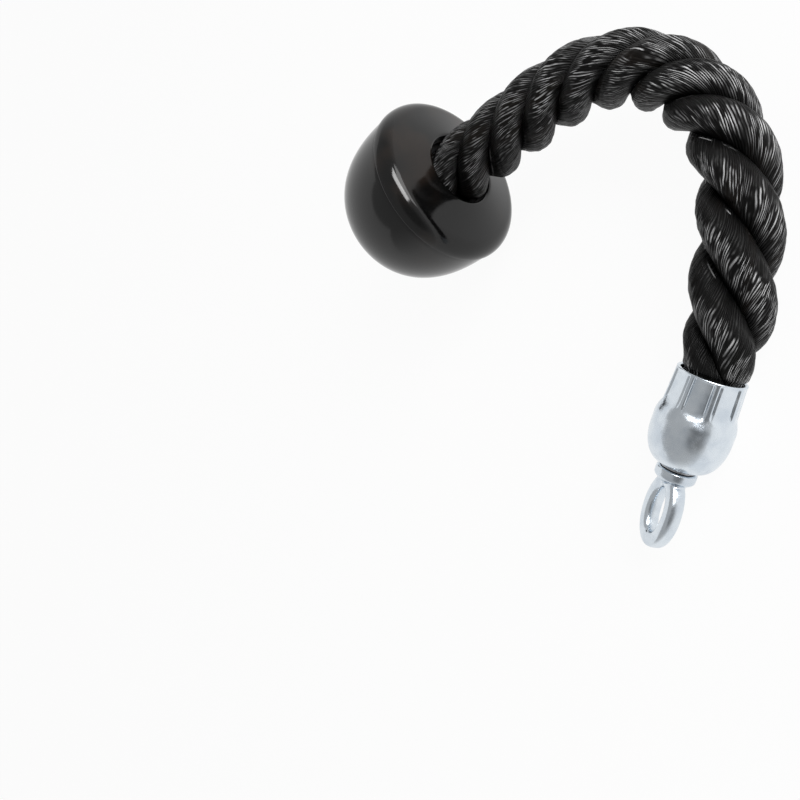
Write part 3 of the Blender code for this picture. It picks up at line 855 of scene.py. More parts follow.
@dataclass(frozen=True)
class DullSteel:
    """Plain steel of the hidden washers, nut and clamp ring, with turning marks and a few stains."""

    name: str = "dull_steel"
    colour: Colour = (0.42, 0.43, 0.45)
    stained: Colour = (0.30, 0.28, 0.26)
    roughness: Pair = (0.32, 0.52)
    mark_depth: float = 0.02 * MM

    def make(self) -> bpy.types.Material:
        """Builds the material.

        Returns:
            The material.
        """
        sheet = Sheet(self.name)
        place = sheet.object_place()
        stain = sheet.spread(sheet.noise(place, 210.0, 4.0, 0.6), (0.5, 0.75))
        colour = sheet.blend(stain, paint(self.colour), paint(self.stained))
        rough = sheet.spread(sheet.noise(place, 700.0, 3.0), (0.3, 0.7), self.roughness)
        normal = sheet.bump(sheet.noise(place, 1500.0, 3.0, 0.6), self.mark_depth, 0.6)
        return sheet.finish(Base_Color=colour, Metallic=1.0, Roughness=rough, Normal=normal)


@dataclass(frozen=True)
class BindingTape:
    """Matt woven tape bound round the rope's cut ends."""

    name: str = "binding_tape"
    colour: Colour = (0.030, 0.030, 0.032)
    worn: Colour = (0.060, 0.060, 0.062)
    roughness: Pair = (0.62, 0.8)
    weave_depth: float = 0.05 * MM

    def make(self) -> bpy.types.Material:
        """Builds the material.

        Returns:
            The material.
        """
        sheet = Sheet(self.name)
        weave = sheet.noise(sheet.object_place(), 2400.0, 2.0, 0.7)
        colour = sheet.blend(sheet.spread(weave, (0.35, 0.7)), paint(self.colour), paint(self.worn))
        rough = sheet.spread(weave, (0.3, 0.7), self.roughness)
        normal = sheet.bump(weave, self.weave_depth, 0.8)
        return sheet.finish(Base_Color=colour, Roughness=rough, Normal=normal)


@dataclass(frozen=True)
class StudioPaper:
    """The pale seamless paper under the object, which keeps its soft shadow."""

    name: str = "studio_paper"
    colour: Colour = (0.86, 0.86, 0.86)
    roughness: float = 0.9
    grain_depth: float = 0.02 * MM
    glow: float = 1.0
    shown_share: float = 0.95

    def make(self) -> bpy.types.Material:
        """Builds the material: camera, mirrors and glass see it lighter than the lamps make it.

        Returns:
            The material.
        """
        sheet = Sheet(self.name)
        normal = sheet.bump(sheet.noise(sheet.object_place(), 900.0, 2.0), self.grain_depth, 0.2)
        sheet.finish(Base_Color=paint(self.colour), Roughness=self.roughness, Normal=normal)
        glow = sheet.node("ShaderNodeEmission", Color=paint(WHITE), Strength=self.glow)
        path = sheet.node("ShaderNodeLightPath").outputs
        seen = sheet.sum_up("MAXIMUM", path["Is Camera Ray"], path["Is Glossy Ray"])
        seen = sheet.sum_up("MAXIMUM", seen, path["Is Transmission Ray"])
        mixed = sheet.node("ShaderNodeMixShader", Fac=sheet.product(seen, self.shown_share))
        surface = sheet.tree.nodes["Material Output"].inputs["Surface"]
        for entry, shader in ((mixed.inputs[1], sheet.shader), (mixed.inputs[2], glow), (surface, mixed)):
            sheet.feed(entry, shader.outputs[0])
        return sheet.material


# The object's pieces


@dataclass
class LaidRope:
    """The rope: three strands of yarns, laid round each other."""

    route: RopeRoute
    bend: BendFrame
    strand_count: int = 3
    strand_noise_step: float = 7.3
    crown_share: float = 0.5
    groove_share: float = 0.63
    strand_gap: float = 0.10 * MM
    bundles_round: float = 17.0
    bundle_depth: float = 0.22 * MM
    bundle_roundness: float = 2.2
    bundle_wander: float = 0.22
    bundle_wander_length: float = 26.0 * MM
    bundle_wander_seed: int = 11
    bundle_uneven_length: float = 9.0 * MM
    bundle_uneven_seed: int = 31
    yarn_turn: float = 35.5 * MM
    lump_depth: float = 0.10 * MM
    lump_length: float = 16.0 * MM
    lump_seed: int = 51
    fullness: float = 0.34 * MM
    fullness_width: float = 1.25
    proud_depth: float = 4.0 * MM
    packing: float = 0.85
    packing_length: float = 9.0 * MM
    packing_ease: float = 2.2
    crown_points: int = 88
    step: float = 0.40 * MM
    quick_step: float = 0.9 * MM
    blend_span: Pair = (0.12, 0.94)
    path_points: int = 60
    piece: bpy.types.Object | None = field(default=None, init=False)

    @property
    def flank(self) -> float:
        """Half the angle that each strand takes up round the rope."""
        return math.pi / self.strand_count

    @property
    def crown_depth(self) -> float:
        """How far a strand's crown stands out from the strand's own middle."""
        return self.route.radius * self.crown_share

    @property
    def strand_middle(self) -> float:
        """How far a strand's own middle lies from the rope's."""
        return self.route.radius - self.crown_depth

    def section(self) -> tuple[np.ndarray, np.ndarray]:
        """A strand's section for a strand that lies at angle 0.

        Returns:
            Its points of distance out and aside round the crown, and each one's angle round the strand's
            own middle, which the yarns are counted by.
        """
        groove = self.route.radius * self.groove_share
        reach = math.acos((groove * math.cos(self.flank) - self.strand_middle) / self.crown_depth)
        width = groove * math.sin(self.flank) / math.sin(reach)
        angles = reach * np.linspace(-1.0, 1.0, self.crown_points)
        out = self.strand_middle + self.crown_depth * np.cos(angles)
        points = np.stack([out, width * np.sin(angles)], axis=-1)
        spare = points[:, 0] * math.sin(self.flank) - np.abs(points[:, 1]) * math.cos(self.flank)
        push = np.minimum(spare - self.strand_gap / 2, 0.0)
        points[:, 0] -= math.sin(self.flank) * push
        points[:, 1] += np.sign(points[:, 1]) * math.cos(self.flank) * push
        return points, angles

    def skin(self, number: int, s: np.ndarray) -> tuple[np.ndarray, np.ndarray, np.ndarray]:
        """A strand's section at each ring, with its yarns standing out of it in uneven bundles.

        Args:
            number: Which strand.
            s: The distances along the rope of its rings.

        Returns:
            The points' distances out and aside, one row a ring, and for each point its bundle count, its
            distance along and how proud it stands of the groove.
        """
        section, angles = self.section()
        long, round_ = np.meshgrid(s, angles, indexing="ij")
        bundles = self.bundles_round * (round_ / TURN - long / self.yarn_turn)
        wander = ripple(self.bundle_wander_seed + number, bundles / 3.0, long / self.bundle_wander_length)
        bundles = bundles + self.bundle_wander * wander
        ridge = 1.0 - np.abs(2.0 * (bundles % 1.0) - 1.0) ** self.bundle_roundness
        spot = (np.floor(bundles) * 0.77, long / self.bundle_uneven_length)
        uneven = 0.7 + 0.3 * ripple(self.bundle_uneven_seed + number, *spot)
        lump = ripple(self.lump_seed + number, round_ * 1.1, long / self.lump_length)
        sink = self.bundle_depth * (1.0 - ridge * np.clip(uneven, 0.3, 1.0)) + self.lump_depth * (1.0 + lump)
        sink = sink - self.fullness * bell(round_, self.fullness_width)
        shrink = 1.0 - sink / np.hypot(section[:, 0] - self.strand_middle, section[:, 1])[None, :]
        x = self.strand_middle + (section[:, 0] - self.strand_middle)[None, :] * shrink
        y = section[:, 1][None, :] * shrink
        above = x * math.sin(self.flank) - np.abs(y) * math.cos(self.flank)
        # How proud a point stands sets the rope finish's painted groove shade.
        proud = np.clip(above / self.proud_depth, 0.0, 1.0)
        return x, y, np.stack([bundles, long, proud], axis=-1)

    def packed(self, s: np.ndarray, x: np.ndarray, y: np.ndarray) -> tuple[np.ndarray, np.ndarray]:
        """Fills the grooves where the cup squeezes the rope round.

        Args:
            s: The distances along the rope of the rings.
            x: The points' distances out, one row a ring.
            y: The points' distances aside.

        Returns:
            The points' new distances out and aside.
        """
        flank = self.flank - self.strand_gap / self.route.radius
        angle = np.clip(np.arctan2(y, x), -flank, flank)
        share = self.packing * eased((s - self.route.free_length + self.packing_length) / self.packing_length)
        share = share[:, None] * eased(np.hypot(x, y) / self.route.radius * self.packing_ease)
        full = self.route.radius - self.bundle_depth
        return x + (full * np.cos(angle) - x) * share, y + (full * np.sin(angle) - y) * share

    def on_route(self, number: int, s: np.ndarray, x: np.ndarray, y: np.ndarray) -> np.ndarray:
        """Lays a strand's rings on the route, flattened on the inside of the bend.

        Args:
            number: Which strand.
            s: The distances along the rope of its rings.
            x: The points' distances out, one row a ring.
            y: The points' distances aside.

        Returns:
            Rows of points in the bend frame.
        """
        turn = self.route.strand_angle(s, number, self.strand_count)
        left = self.route.left(s)
        up = np.array([0.0, 0.0, 1.0])
        out = left * np.cos(turn)[:, None] + up * np.sin(turn)[:, None]
        aside = np.cross(out, self.route.along(s))
        reach = out[:, None, :] * x[..., None] - aside[:, None, :] * y[..., None]
        inner = np.minimum(np.einsum("ijk,ik->ij", reach, left), 0.0)
        flattening = (self.route.turn_rate(s) * self.route.squeeze_share)[:, None] * inner
        return self.route.middle(s)[:, None, :] + reach - left[:, None, :] * flattening[..., None]

    def strand(self, number: int, s: np.ndarray) -> tuple[np.ndarray, np.ndarray, np.ndarray]:
        """One strand, with a row of tips along the rope's middle.

        Args:
            number: Which strand.
            s: The distances along the rope of its rings.

        Returns:
            Rows of points in the bend frame; for each point its bundle count, distance along and how proud
            it stands; and for each point the strand's number, its place across the strand from -1 to 1,
            and a spare number.
        """
        x, y, lay = self.skin(number, s)
        x, y = self.packed(s, x, y)
        tip = np.full((len(s), 1), self.strand_gap / math.sin(self.flank))
        share = self.route.share(s)[:, None]
        x = np.concatenate([tip, x], axis=1) * share
        y = np.concatenate([np.zeros_like(tip), y], axis=1) * share
        lay = np.concatenate([lay[:, :1], lay], axis=1)
        across = np.linspace(-1.0, 1.0, self.crown_points)
        strand = np.zeros_like(lay)
        strand[..., 0] = number * self.strand_noise_step
        # The place across the strand sets where the rope finish paints its highlight and its shaded flank.
        strand[:, 1:, 1] = np.abs(across) ** 0.8 * np.sign(across)
        return self.on_route(number, s, x, y), lay, strand

    def build(self, material: bpy.types.Material) -> None:
        """Builds the rope's mesh: each strand closed by its own ends.

        Args:
            material: The rope's finish.
        """
        step = self.step
        s = np.linspace(-self.route.tail, self.route.inner_end, round(self.route.length / step) + 1)
        points, faces, lays, strands = [], [], [], []
        for number in range(self.strand_count):
            rows, lay, strand = self.strand(number, s)
            first = sum(len(block) for block in points)
            wide = rows.shape[1]
            last = first + (len(s) - 1) * wide
            faces += (grid_faces(len(s), wide, True) + first).tolist()
            faces.append(list(range(first, first + wide))[::-1])
            faces.append(list(range(last, last + wide)))
            points.append(rows.reshape(-1, 3))
            lays.append(lay.reshape(-1, 3))
            strands.append(strand.reshape(-1, 3))
        mesh = bpy.data.meshes.new("rope")
        mesh.from_pydata(self.bend.to_world(np.concatenate(points)).tolist(), [], faces)
        mesh.update()
        set_attribute(mesh, "lay", np.concatenate(lays))
        set_attribute(mesh, "strand", np.concatenate(strands))
        outward(mesh)
        mesh.shade_smooth()
        self.piece = add_piece("rope", mesh, material)
        LOG.info("rope: %d points", len(mesh.vertices))

    def world_route(self, s: np.ndarray) -> np.ndarray:
        """The rope's centreline at s, one point a row, in the world."""
        return self.bend.to_world(self.route.middle(s))

    def dress(self) -> None:
        """Hides the model's strand halves and puts the rope's place into its mesh; the route points that it
        works out are not used.
        """
        rope = self.piece
        halves = [f"strand_{number + 1}_{half.value}" for number in range(self.strand_count) for half in Half]
        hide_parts(*halves)
        start, end = self.world_route(np.array(self.blend_span) * self.route.free_length)
        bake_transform(rope)
        path = self.world_route(np.linspace(self.route.inner_end, -self.route.tail, self.path_points))
        mouth = self.world_route(np.array([self.route.free_length]))[0]


@dataclass
class Stopper:
    """The moulded stopper: a deep dome and a tapered face with the rope's hole."""

    axis: Axis
    diameter: float = 76.2 * MM
    dome_depth: float = 47.1 * MM
    dome_wall: float = 4.0 * MM
    dome_curve_share: float = 0.78
    face_height: float = 12.6 * MM
    face_wall: float = 3.6 * MM
    face_step: float = 0.6 * MM
    face_shoulder: float = 5.0 * MM
    rim_height: float = 0.6 * MM
    rim_radius: float = 8.0 * MM
    lip_radius: float = 1.2 * MM
    hole_radius: float = 16.2 * MM
    spigot_depth: float = 6.0 * MM
    spigot_wall: float = 2.4 * MM
    washer_radius: float = 22.3 * MM
    clearance: float = 0.3 * MM
    edge: float = 0.35 * MM
    sharp_deg: float = 50.0
    steps: int = 224
    pieces: list[bpy.types.Object] = field(default_factory=list, init=False)

    def bowl(self, radius: float, depth: float, count: int) -> list[Pair]:
        """A bowl's outline from its pole to its mouth, a little fuller than an ellipse.

        Args:
            radius: The radius of its mouth.
            depth: The depth of its pole.
            count: How many points it has.

        Returns:
            Points of radius and height.
        """
        power = self.dome_curve_share
        angles = np.radians(np.linspace(0.0, 90.0, count))
        return [(radius * math.sin(a) ** power, -depth * max(math.cos(a), 0.0) ** power) for a in angles]

    def dome_outline(self) -> list[Pair]:
        """The dome's outline, from the middle of its inside round its mouth to its pole.

        Returns:
            Points of radius and height.
        """
        radius, half_gap = self.diameter / 2, self.clearance / 2
        seat = self.spigot_depth + self.clearance
        cavity = radius - self.dome_wall
        inner = [(r, h - seat) for r, h in self.bowl(cavity, self.dome_depth - self.dome_wall - seat, 24)]
        inner += [*straight(inner[-1], (cavity, -half_gap), 2), (cavity, -half_gap)]
        mouth = arc((radius - self.edge, -half_gap - self.edge), (self.edge, self.edge), 90.0, 0.0, 5)
        below_mouth = mouth[-1][1] - self.edge
        outer = [point for point in self.bowl(radius, self.dome_depth, 72)[::-1] if point[1] < below_mouth]
        return [(0.0, inner[0][1]), *inner[1:], *mouth, *outer[:-1], (0.0, -self.dome_depth)]

    def face_outline(self) -> list[Pair]:
        """The face's outline, from the lip of its hole over its rim and round its spigot.

        Returns:
            Points of radius and height.
        """
        rim = self.diameter / 2 + self.face_step
        half_gap = self.clearance / 2
        spigot_outer = self.diameter / 2 - self.dome_wall - self.clearance
        spigot_inner = spigot_outer - self.spigot_wall
        rim_middle = (rim - self.rim_radius, self.rim_height)
        lip_middle = (self.hole_radius + self.lip_radius, self.face_height - self.lip_radius)
        across, up = lip_middle[0] - rim_middle[0], lip_middle[1] - rim_middle[1]
        turn = math.acos((self.rim_radius - self.lip_radius) / math.hypot(across, up))
        slope = math.degrees(math.atan2(up, across) - turn)
        lip = arc(lip_middle, (self.lip_radius, self.lip_radius), 180.0, slope, 10)
        crown = arc(rim_middle, (self.rim_radius, self.rim_radius), slope, 0.0, 16)
        foot = arc((rim - self.edge, half_gap + self.edge), (self.edge, self.edge), 0.0, -90.0, 5)
        points = [*lip, *straight(lip[-1], crown[0], 10), *crown, *straight(crown[-1], foot[0], 2), *foot]
        points += [(spigot_outer, half_gap), (spigot_outer, -self.spigot_depth)]
        points += [(spigot_inner, -self.spigot_depth), (spigot_inner, self.face_shoulder)]
        underside = self.face_height - self.face_wall
        return points + [(self.washer_radius, underside), (self.hole_radius, underside)]

    def build(self, material: bpy.types.Material) -> None:
        """Turns the two shells.

        Args:
            material: The stopper's finish.
        """
        for name, outline in (("dome_shell", self.dome_outline()), ("face_shell", self.face_outline())):
            mesh = turned_mesh(name, outline, self.axis, self.steps)
            mesh.set_sharp_from_angle(angle=math.radians(self.sharp_deg))
            self.pieces.append(add_piece(name, mesh, material))
            LOG.info("%s: %d points", name, len(mesh.vertices))

    def dress(self) -> None:
        """Puts the shells in the place of the model's dome and face."""
        for piece, node in zip(self.pieces, ("stopper_dome", "stopper_face")):
            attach(piece, "stopper")
            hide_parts(node)


@dataclass(frozen=True)
class Jaw:
    """One jaw of the crimping tool: where it pressed the neck, how deep, and how far down its foot came."""

    middle_deg: float
    half_width_deg: float
    depth: float
    foot: float


@dataclass
class Ferrule:
    """The drawn steel cup, crimped round the rope by the jaws."""

    axis: Axis
    length: float = 34.9 * MM
    neck_length: float = 12.4 * MM
    mouth_radius: float = 12.6 * MM
    base_radius: float = 13.3 * MM
    bore_radius: float = 11.2 * MM
    shoulder_length: float = 5.6 * MM
    bulge_radius: float = 14.55 * MM
    bulge_length: float = 4.1 * MM
    wall: float = 1.7 * MM
    floor: float = 2.4 * MM
    flat_radius: float = 7.5 * MM
    hole_radius: float = 4.3 * MM
    rim_guard: float = 0.3 * MM
    rim_ease: float = 1.1 * MM
    jaw_ease_deg: float = 2.6
    foot_length: float = 3.3 * MM
    foot_bow: float = 1.3 * MM
    depth_share: float = 0.7
    flat_limit_deg: float = 22.0
    flat_share: float = 0.45
    flat_sink_share: float = 0.04
    crease_depth: float = 0.34 * MM
    crease_inset_deg: float = 1.0
    crease_width_deg: float = 1.7
    dish_depth: float = 0.10 * MM
    dish_place: float = 0.55
    dish_length: float = 3.5 * MM
    jaws: tuple[Jaw, ...] = (
        Jaw(22.5, 17.0, 0.55 * MM, 12.2 * MM),
        Jaw(67.5, 19.5, 0.62 * MM, 11.7 * MM),
        Jaw(112.5, 17.5, 0.50 * MM, 12.4 * MM),
        Jaw(157.5, 18.5, 0.60 * MM, 11.9 * MM),
        Jaw(202.5, 17.0, 0.55 * MM, 12.3 * MM),
        Jaw(247.5, 19.0, 0.64 * MM, 11.8 * MM),
        Jaw(292.5, 17.5, 0.52 * MM, 12.2 * MM),
        Jaw(337.5, 18.0, 0.60 * MM, 12.0 * MM),
    )
    sharp_deg: float = 60.0
    steps: int = 360
    piece: bpy.types.Object | None = field(default=None, init=False)

    def side(
        self, mouth: float, base: float, bulge: float, floor: float, counts: tuple[int, int, int]
    ) -> list[Pair]:
        """One side of the cup's wall from under the mouth to its bottom.

        Args:
            mouth: The radius at the mouth.
            base: The radius at the neck's foot.
            bulge: The radius of the bulge.
            floor: The height of the bottom.
            counts: How many points the neck, the shoulder and the round bottom have.

        Returns:
            Points of radius and height.
        """
        neck, shoulder, bottom = counts
        down = np.linspace(0.0, 1.0, neck)[1:]
        points = [(mouth + (base - mouth) * t, -self.neck_length * t) for t in down]
        points += [
            (base + (bulge - base) * float(eased(t)), -self.neck_length - self.shoulder_length * t)
            for t in np.linspace(0.0, 1.0, shoulder)[1:]
        ]
        foot = -self.neck_length - self.shoulder_length - self.bulge_length
        points += straight(points[-1], (bulge, foot), 3)
        rounding = (bulge - self.flat_radius, foot - floor)
        return points + arc((self.flat_radius, foot), rounding, 0.0, -90.0, bottom)

    def outline(self) -> list[Pair]:
        """The cup's whole outline: over the rim, down its outside, through its hole and up its inside.

        Returns:
            Points of radius and height.
        """
        rim_radius = (self.mouth_radius - self.bore_radius) / 2
        rim = arc((self.mouth_radius - rim_radius, -rim_radius), (rim_radius, rim_radius), 180.0, 0.0, 13)
        outer = self.side(self.mouth_radius, self.base_radius, self.bulge_radius, -self.length, (56, 26, 34))
        outer = [point for point in outer if point[1] < rim[-1][1]]
        cavity = self.bulge_radius - self.wall
        inner_floor = self.floor - self.length
        inner = self.side(self.bore_radius, self.bore_radius, cavity, inner_floor, (3, 8, 8))
        hole = [(self.hole_radius, -self.length), (self.hole_radius, inner_floor)]
        return rim + outer + hole + inner[::-1]

    def press(self, radius: np.ndarray, angle: np.ndarray, height: np.ndarray) -> np.ndarray:
        """Presses the neck's outside with the jaws, which leave it between shallow flats and creases.

        Args:
            radius: The points' radius.
            angle: Their angle round the cup.
            height: Their height.

        Returns:
            Their new radius.
        """
        outside = radius > (self.mouth_radius + self.bore_radius) / 2
        below_rim = eased((-height - self.rim_guard) / self.rim_ease)
        dish = self.dish_depth * bell(height + self.dish_place * self.neck_length, self.dish_length)
        pressed = np.zeros_like(radius)
        for jaw in self.jaws:
            away = np.degrees(angle) - jaw.middle_deg
            away = (away + 180.0) % 360.0 - 180.0
            inside = eased((jaw.half_width_deg - np.abs(away)) / self.jaw_ease_deg + 0.5)
            reach = jaw.foot + self.foot_bow * (1.0 - (away / jaw.half_width_deg) ** 2)
            above_foot = eased((reach + height) / self.foot_length + 0.5)
            within = np.radians(np.clip(away, -self.flat_limit_deg, self.flat_limit_deg))
            flat = radius * (1.0 - 1.0 / np.cos(within)) + self.mouth_radius * self.flat_sink_share
            sunk = inside * above_foot * (jaw.depth * self.depth_share + self.flat_share * flat + dish)
            from_crease = np.abs(away) - jaw.half_width_deg + self.crease_inset_deg
            crease = self.crease_depth * bell(from_crease, self.crease_width_deg)
            pressed = np.maximum(pressed, sunk + crease * above_foot)
        neck_only = height > -self.neck_length - self.shoulder_length
        return np.where(outside & neck_only, radius - pressed * below_rim, radius)

    def build(self, material: bpy.types.Material) -> None:
        """Turns the cup and presses its neck.

        Args:
            material: The cup's finish.
        """
        mesh = turned_mesh("ferrule_cup", self.outline(), self.axis, self.steps, self.press)
        mesh.set_sharp_from_angle(angle=math.radians(self.sharp_deg))
        self.piece = add_piece("ferrule_cup", mesh, material)
        LOG.info("ferrule_cup: %d points", len(mesh.vertices))

    def dress(self) -> None:
        """Puts the cup in the place of the model's ferrule."""
        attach(self.piece, "ferrule_side")
        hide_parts("ferrule")


@dataclass
class SwivelEye:
    """The forged eye: ring, collar and shank in one."""

    axis: Axis
    turned_deg: float = -32.0
    cup_length: float = 34.9 * MM
    shank_radius: float = 4.0 * MM
    shank_top: float = -24.0 * MM
    shank_chamfer: float = 0.6 * MM
    collar_radius: float = 7.5 * MM
    collar_height: float = 3.0 * MM
    collar_taper: float = 4.0 * MM
    collar_rounding: float = 0.9 * MM
    washer_stack: float = 1.4 * MM
    ring_length: float = 28.7 * MM
    ring_width: float = 22.4 * MM
    bar_width: float = 5.8 * MM
    bar_thickness: float = 6.4 * MM
    squareness: float = 0.72
    ring_sink: float = 2.6 * MM
    ring_steps: int = 120
    bar_steps: int = 40
    shank_steps: int = 96
    voxel: float = 0.33 * MM
    smoothing: int = 6
    piece: bpy.types.Object | None = field(default=None, init=False)

    def shank_outline(self) -> list[Pair]:
        """The outline of the shank, the collar and its taper towards the ring.

        Returns:
            Points of radius and height.
        """
        top = -self.cup_length - self.washer_stack
        taper_top = top - self.collar_height
        half = self.bar_thickness / 2
        points = [(0.0, self.shank_top), (self.shank_radius - self.shank_chamfer, self.shank_top)]
        points += [(self.shank_radius, self.shank_top - self.shank_chamfer)]
        points += [*straight(points[-1], (self.shank_radius, top), 4), (self.shank_radius, top)]
        rounding = self.collar_rounding
        points += arc((self.collar_radius - rounding, top - rounding), (rounding, rounding), 90.0, 0.0, 6)
        narrowing = half - self.collar_radius
        points += [
            (self.collar_radius + narrowing * float(eased(t)), taper_top - self.collar_taper * t)
            for t in np.linspace(0.0, 1.0, 16)
        ]
        return [*points, (0.0, taper_top - self.collar_taper)]

    def squared(self, value: np.ndarray) -> np.ndarray:
        """Carries a circle's coordinate to that of a square with round corners."""
        return np.sign(value) * np.abs(value) ** self.squareness

    def ring_rows(self) -> np.ndarray:
        """The ring's bar, which follows an oval.

        Returns:
            Rows of section points along the oval, the first row again at its end.
        """
        middle = -self.cup_length - self.washer_stack - self.ring_sink - self.ring_length / 2
        across, along = (self.ring_width - self.bar_width) / 2, (self.ring_length - self.bar_width) / 2
        t = np.arange(self.ring_steps) * TURN / self.ring_steps
        turn = np.arange(self.bar_steps) * TURN / self.bar_steps
        centre = np.stack([across * np.cos(t), np.zeros_like(t), middle + along * np.sin(t)], axis=-1)
        normal = np.stack([np.cos(t) / across, np.zeros_like(t), np.sin(t) / along], axis=-1)
        normal /= np.linalg.norm(normal, axis=1, keepdims=True)
        flat = self.squared(np.cos(turn)) * self.bar_width / 2
        thick = self.squared(np.sin(turn)) * self.bar_thickness / 2
        aside = np.array([0.0, 1.0, 0.0])
        rows = centre[:, None, :] + normal[:, None, :] * flat[None, :, None] + aside * thick[None, :, None]
        return np.concatenate([rows, rows[:1]])

    def build(self, material: bpy.types.Material) -> None:
        """Joins the turned shank and the ring, and rounds their meeting as a forging has it.

        Args:
            material: The eye's finish.
        """
        plain = Axis(np.zeros(3), *np.eye(3))
        shank = turned_mesh("eye_shank", self.shank_outline(), plain, self.shank_steps)
        ring = mesh_from_grid("eye_ring", self.ring_rows(), True)
        mesh = bpy.data.meshes.new("forged_eye")
        outward(mesh, (shank, ring), merged=True)
        self.piece = add_piece("forged_eye", mesh, material)
        self.forge()
        mesh = self.piece.data
        local = np.empty(len(mesh.vertices) * 3)
        mesh.vertices.foreach_get("co", local)
        local = local.reshape(-1, 3)
        carried_over = mesh.attributes.get("local")
        if carried_over is not None:
            mesh.attributes.remove(carried_over)
        set_attribute(mesh, "local", local)
        mesh.vertices.foreach_set("co", self.axis.place(local).reshape(-1))
        outward(mesh)
        mesh.shade_smooth()
        mesh.materials.clear()
        mesh.materials.append(material)
        LOG.info("forged_eye: %d points", len(mesh.vertices))

    def forge(self) -> None:
        """Makes one skin of the joined meshes and softens it."""
        remesh = self.piece.modifiers.new("forge", "REMESH")
        remesh.mode = "VOXEL"
        remesh.voxel_size = self.voxel
        remesh.use_smooth_shade = True
        soften = self.piece.modifiers.new("soften", "SMOOTH")
        soften.factor = 0.5
        soften.iterations = self.smoothing
        applied(self.piece)

    def dress(self) -> None:
        """Puts the eye in the place of the model's."""
        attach(self.piece, "eye")
        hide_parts("swivel_eye")


@dataclass
class HiddenParts:
    """The washers, nut, clamp ring and tapes, which keep the model's own shapes."""

    # The stop washer and clamp ring are near-black, though the model records plain steel, so that the gap
    # round the rope in the stopper's hole is dark: painted shade.
    shade_darkened: tuple[str, ...] = ("stop_washer", "clamp_ring")
    plain: tuple[str, ...] = ("collar_washer", "swivel_washer", "swivel_nut")
    taped: tuple[str, ...] = ("grip_end_tape", "ferrule_end_tape")
    black: DullSteel = DullSteel("shade_darkened_steel", (0.020, 0.020, 0.021), (0.034, 0.030, 0.027))

    def dress(self, nodes: dict) -> None:
        """Gives the model's own pieces their finishes.

        Args:
            nodes: The model's objects by name.
        """
        finishes = ((self.shade_darkened, self.black), (self.plain, DullSteel()), (self.taped, BindingTape()))
        for names, finish in finishes:
            material = finish.make()
            for name in names:
                for entry in nodes[name].material_slots:
                    entry.material = material
                LOG.info("%s: finished as %s", name, material.name)


# The studio


@dataclass(frozen=True)
class Lamp:
    """A soft box: its place as seen by the photographer, right, up and towards them, and its light.

    Its size is given as width and height, and roll turns it anticlockwise as the photographer sees it.
    """

    name: str
    towards: Triple
    distance: float
    size: Pair
    roll_deg: float
    power: float


@dataclass(frozen=True)
class Shade:
    """A dimmer side of the room: its direction, the angles at which it starts and is full, and its share."""

    towards: Triple
    start_deg: float
    full_deg: float
    share: float


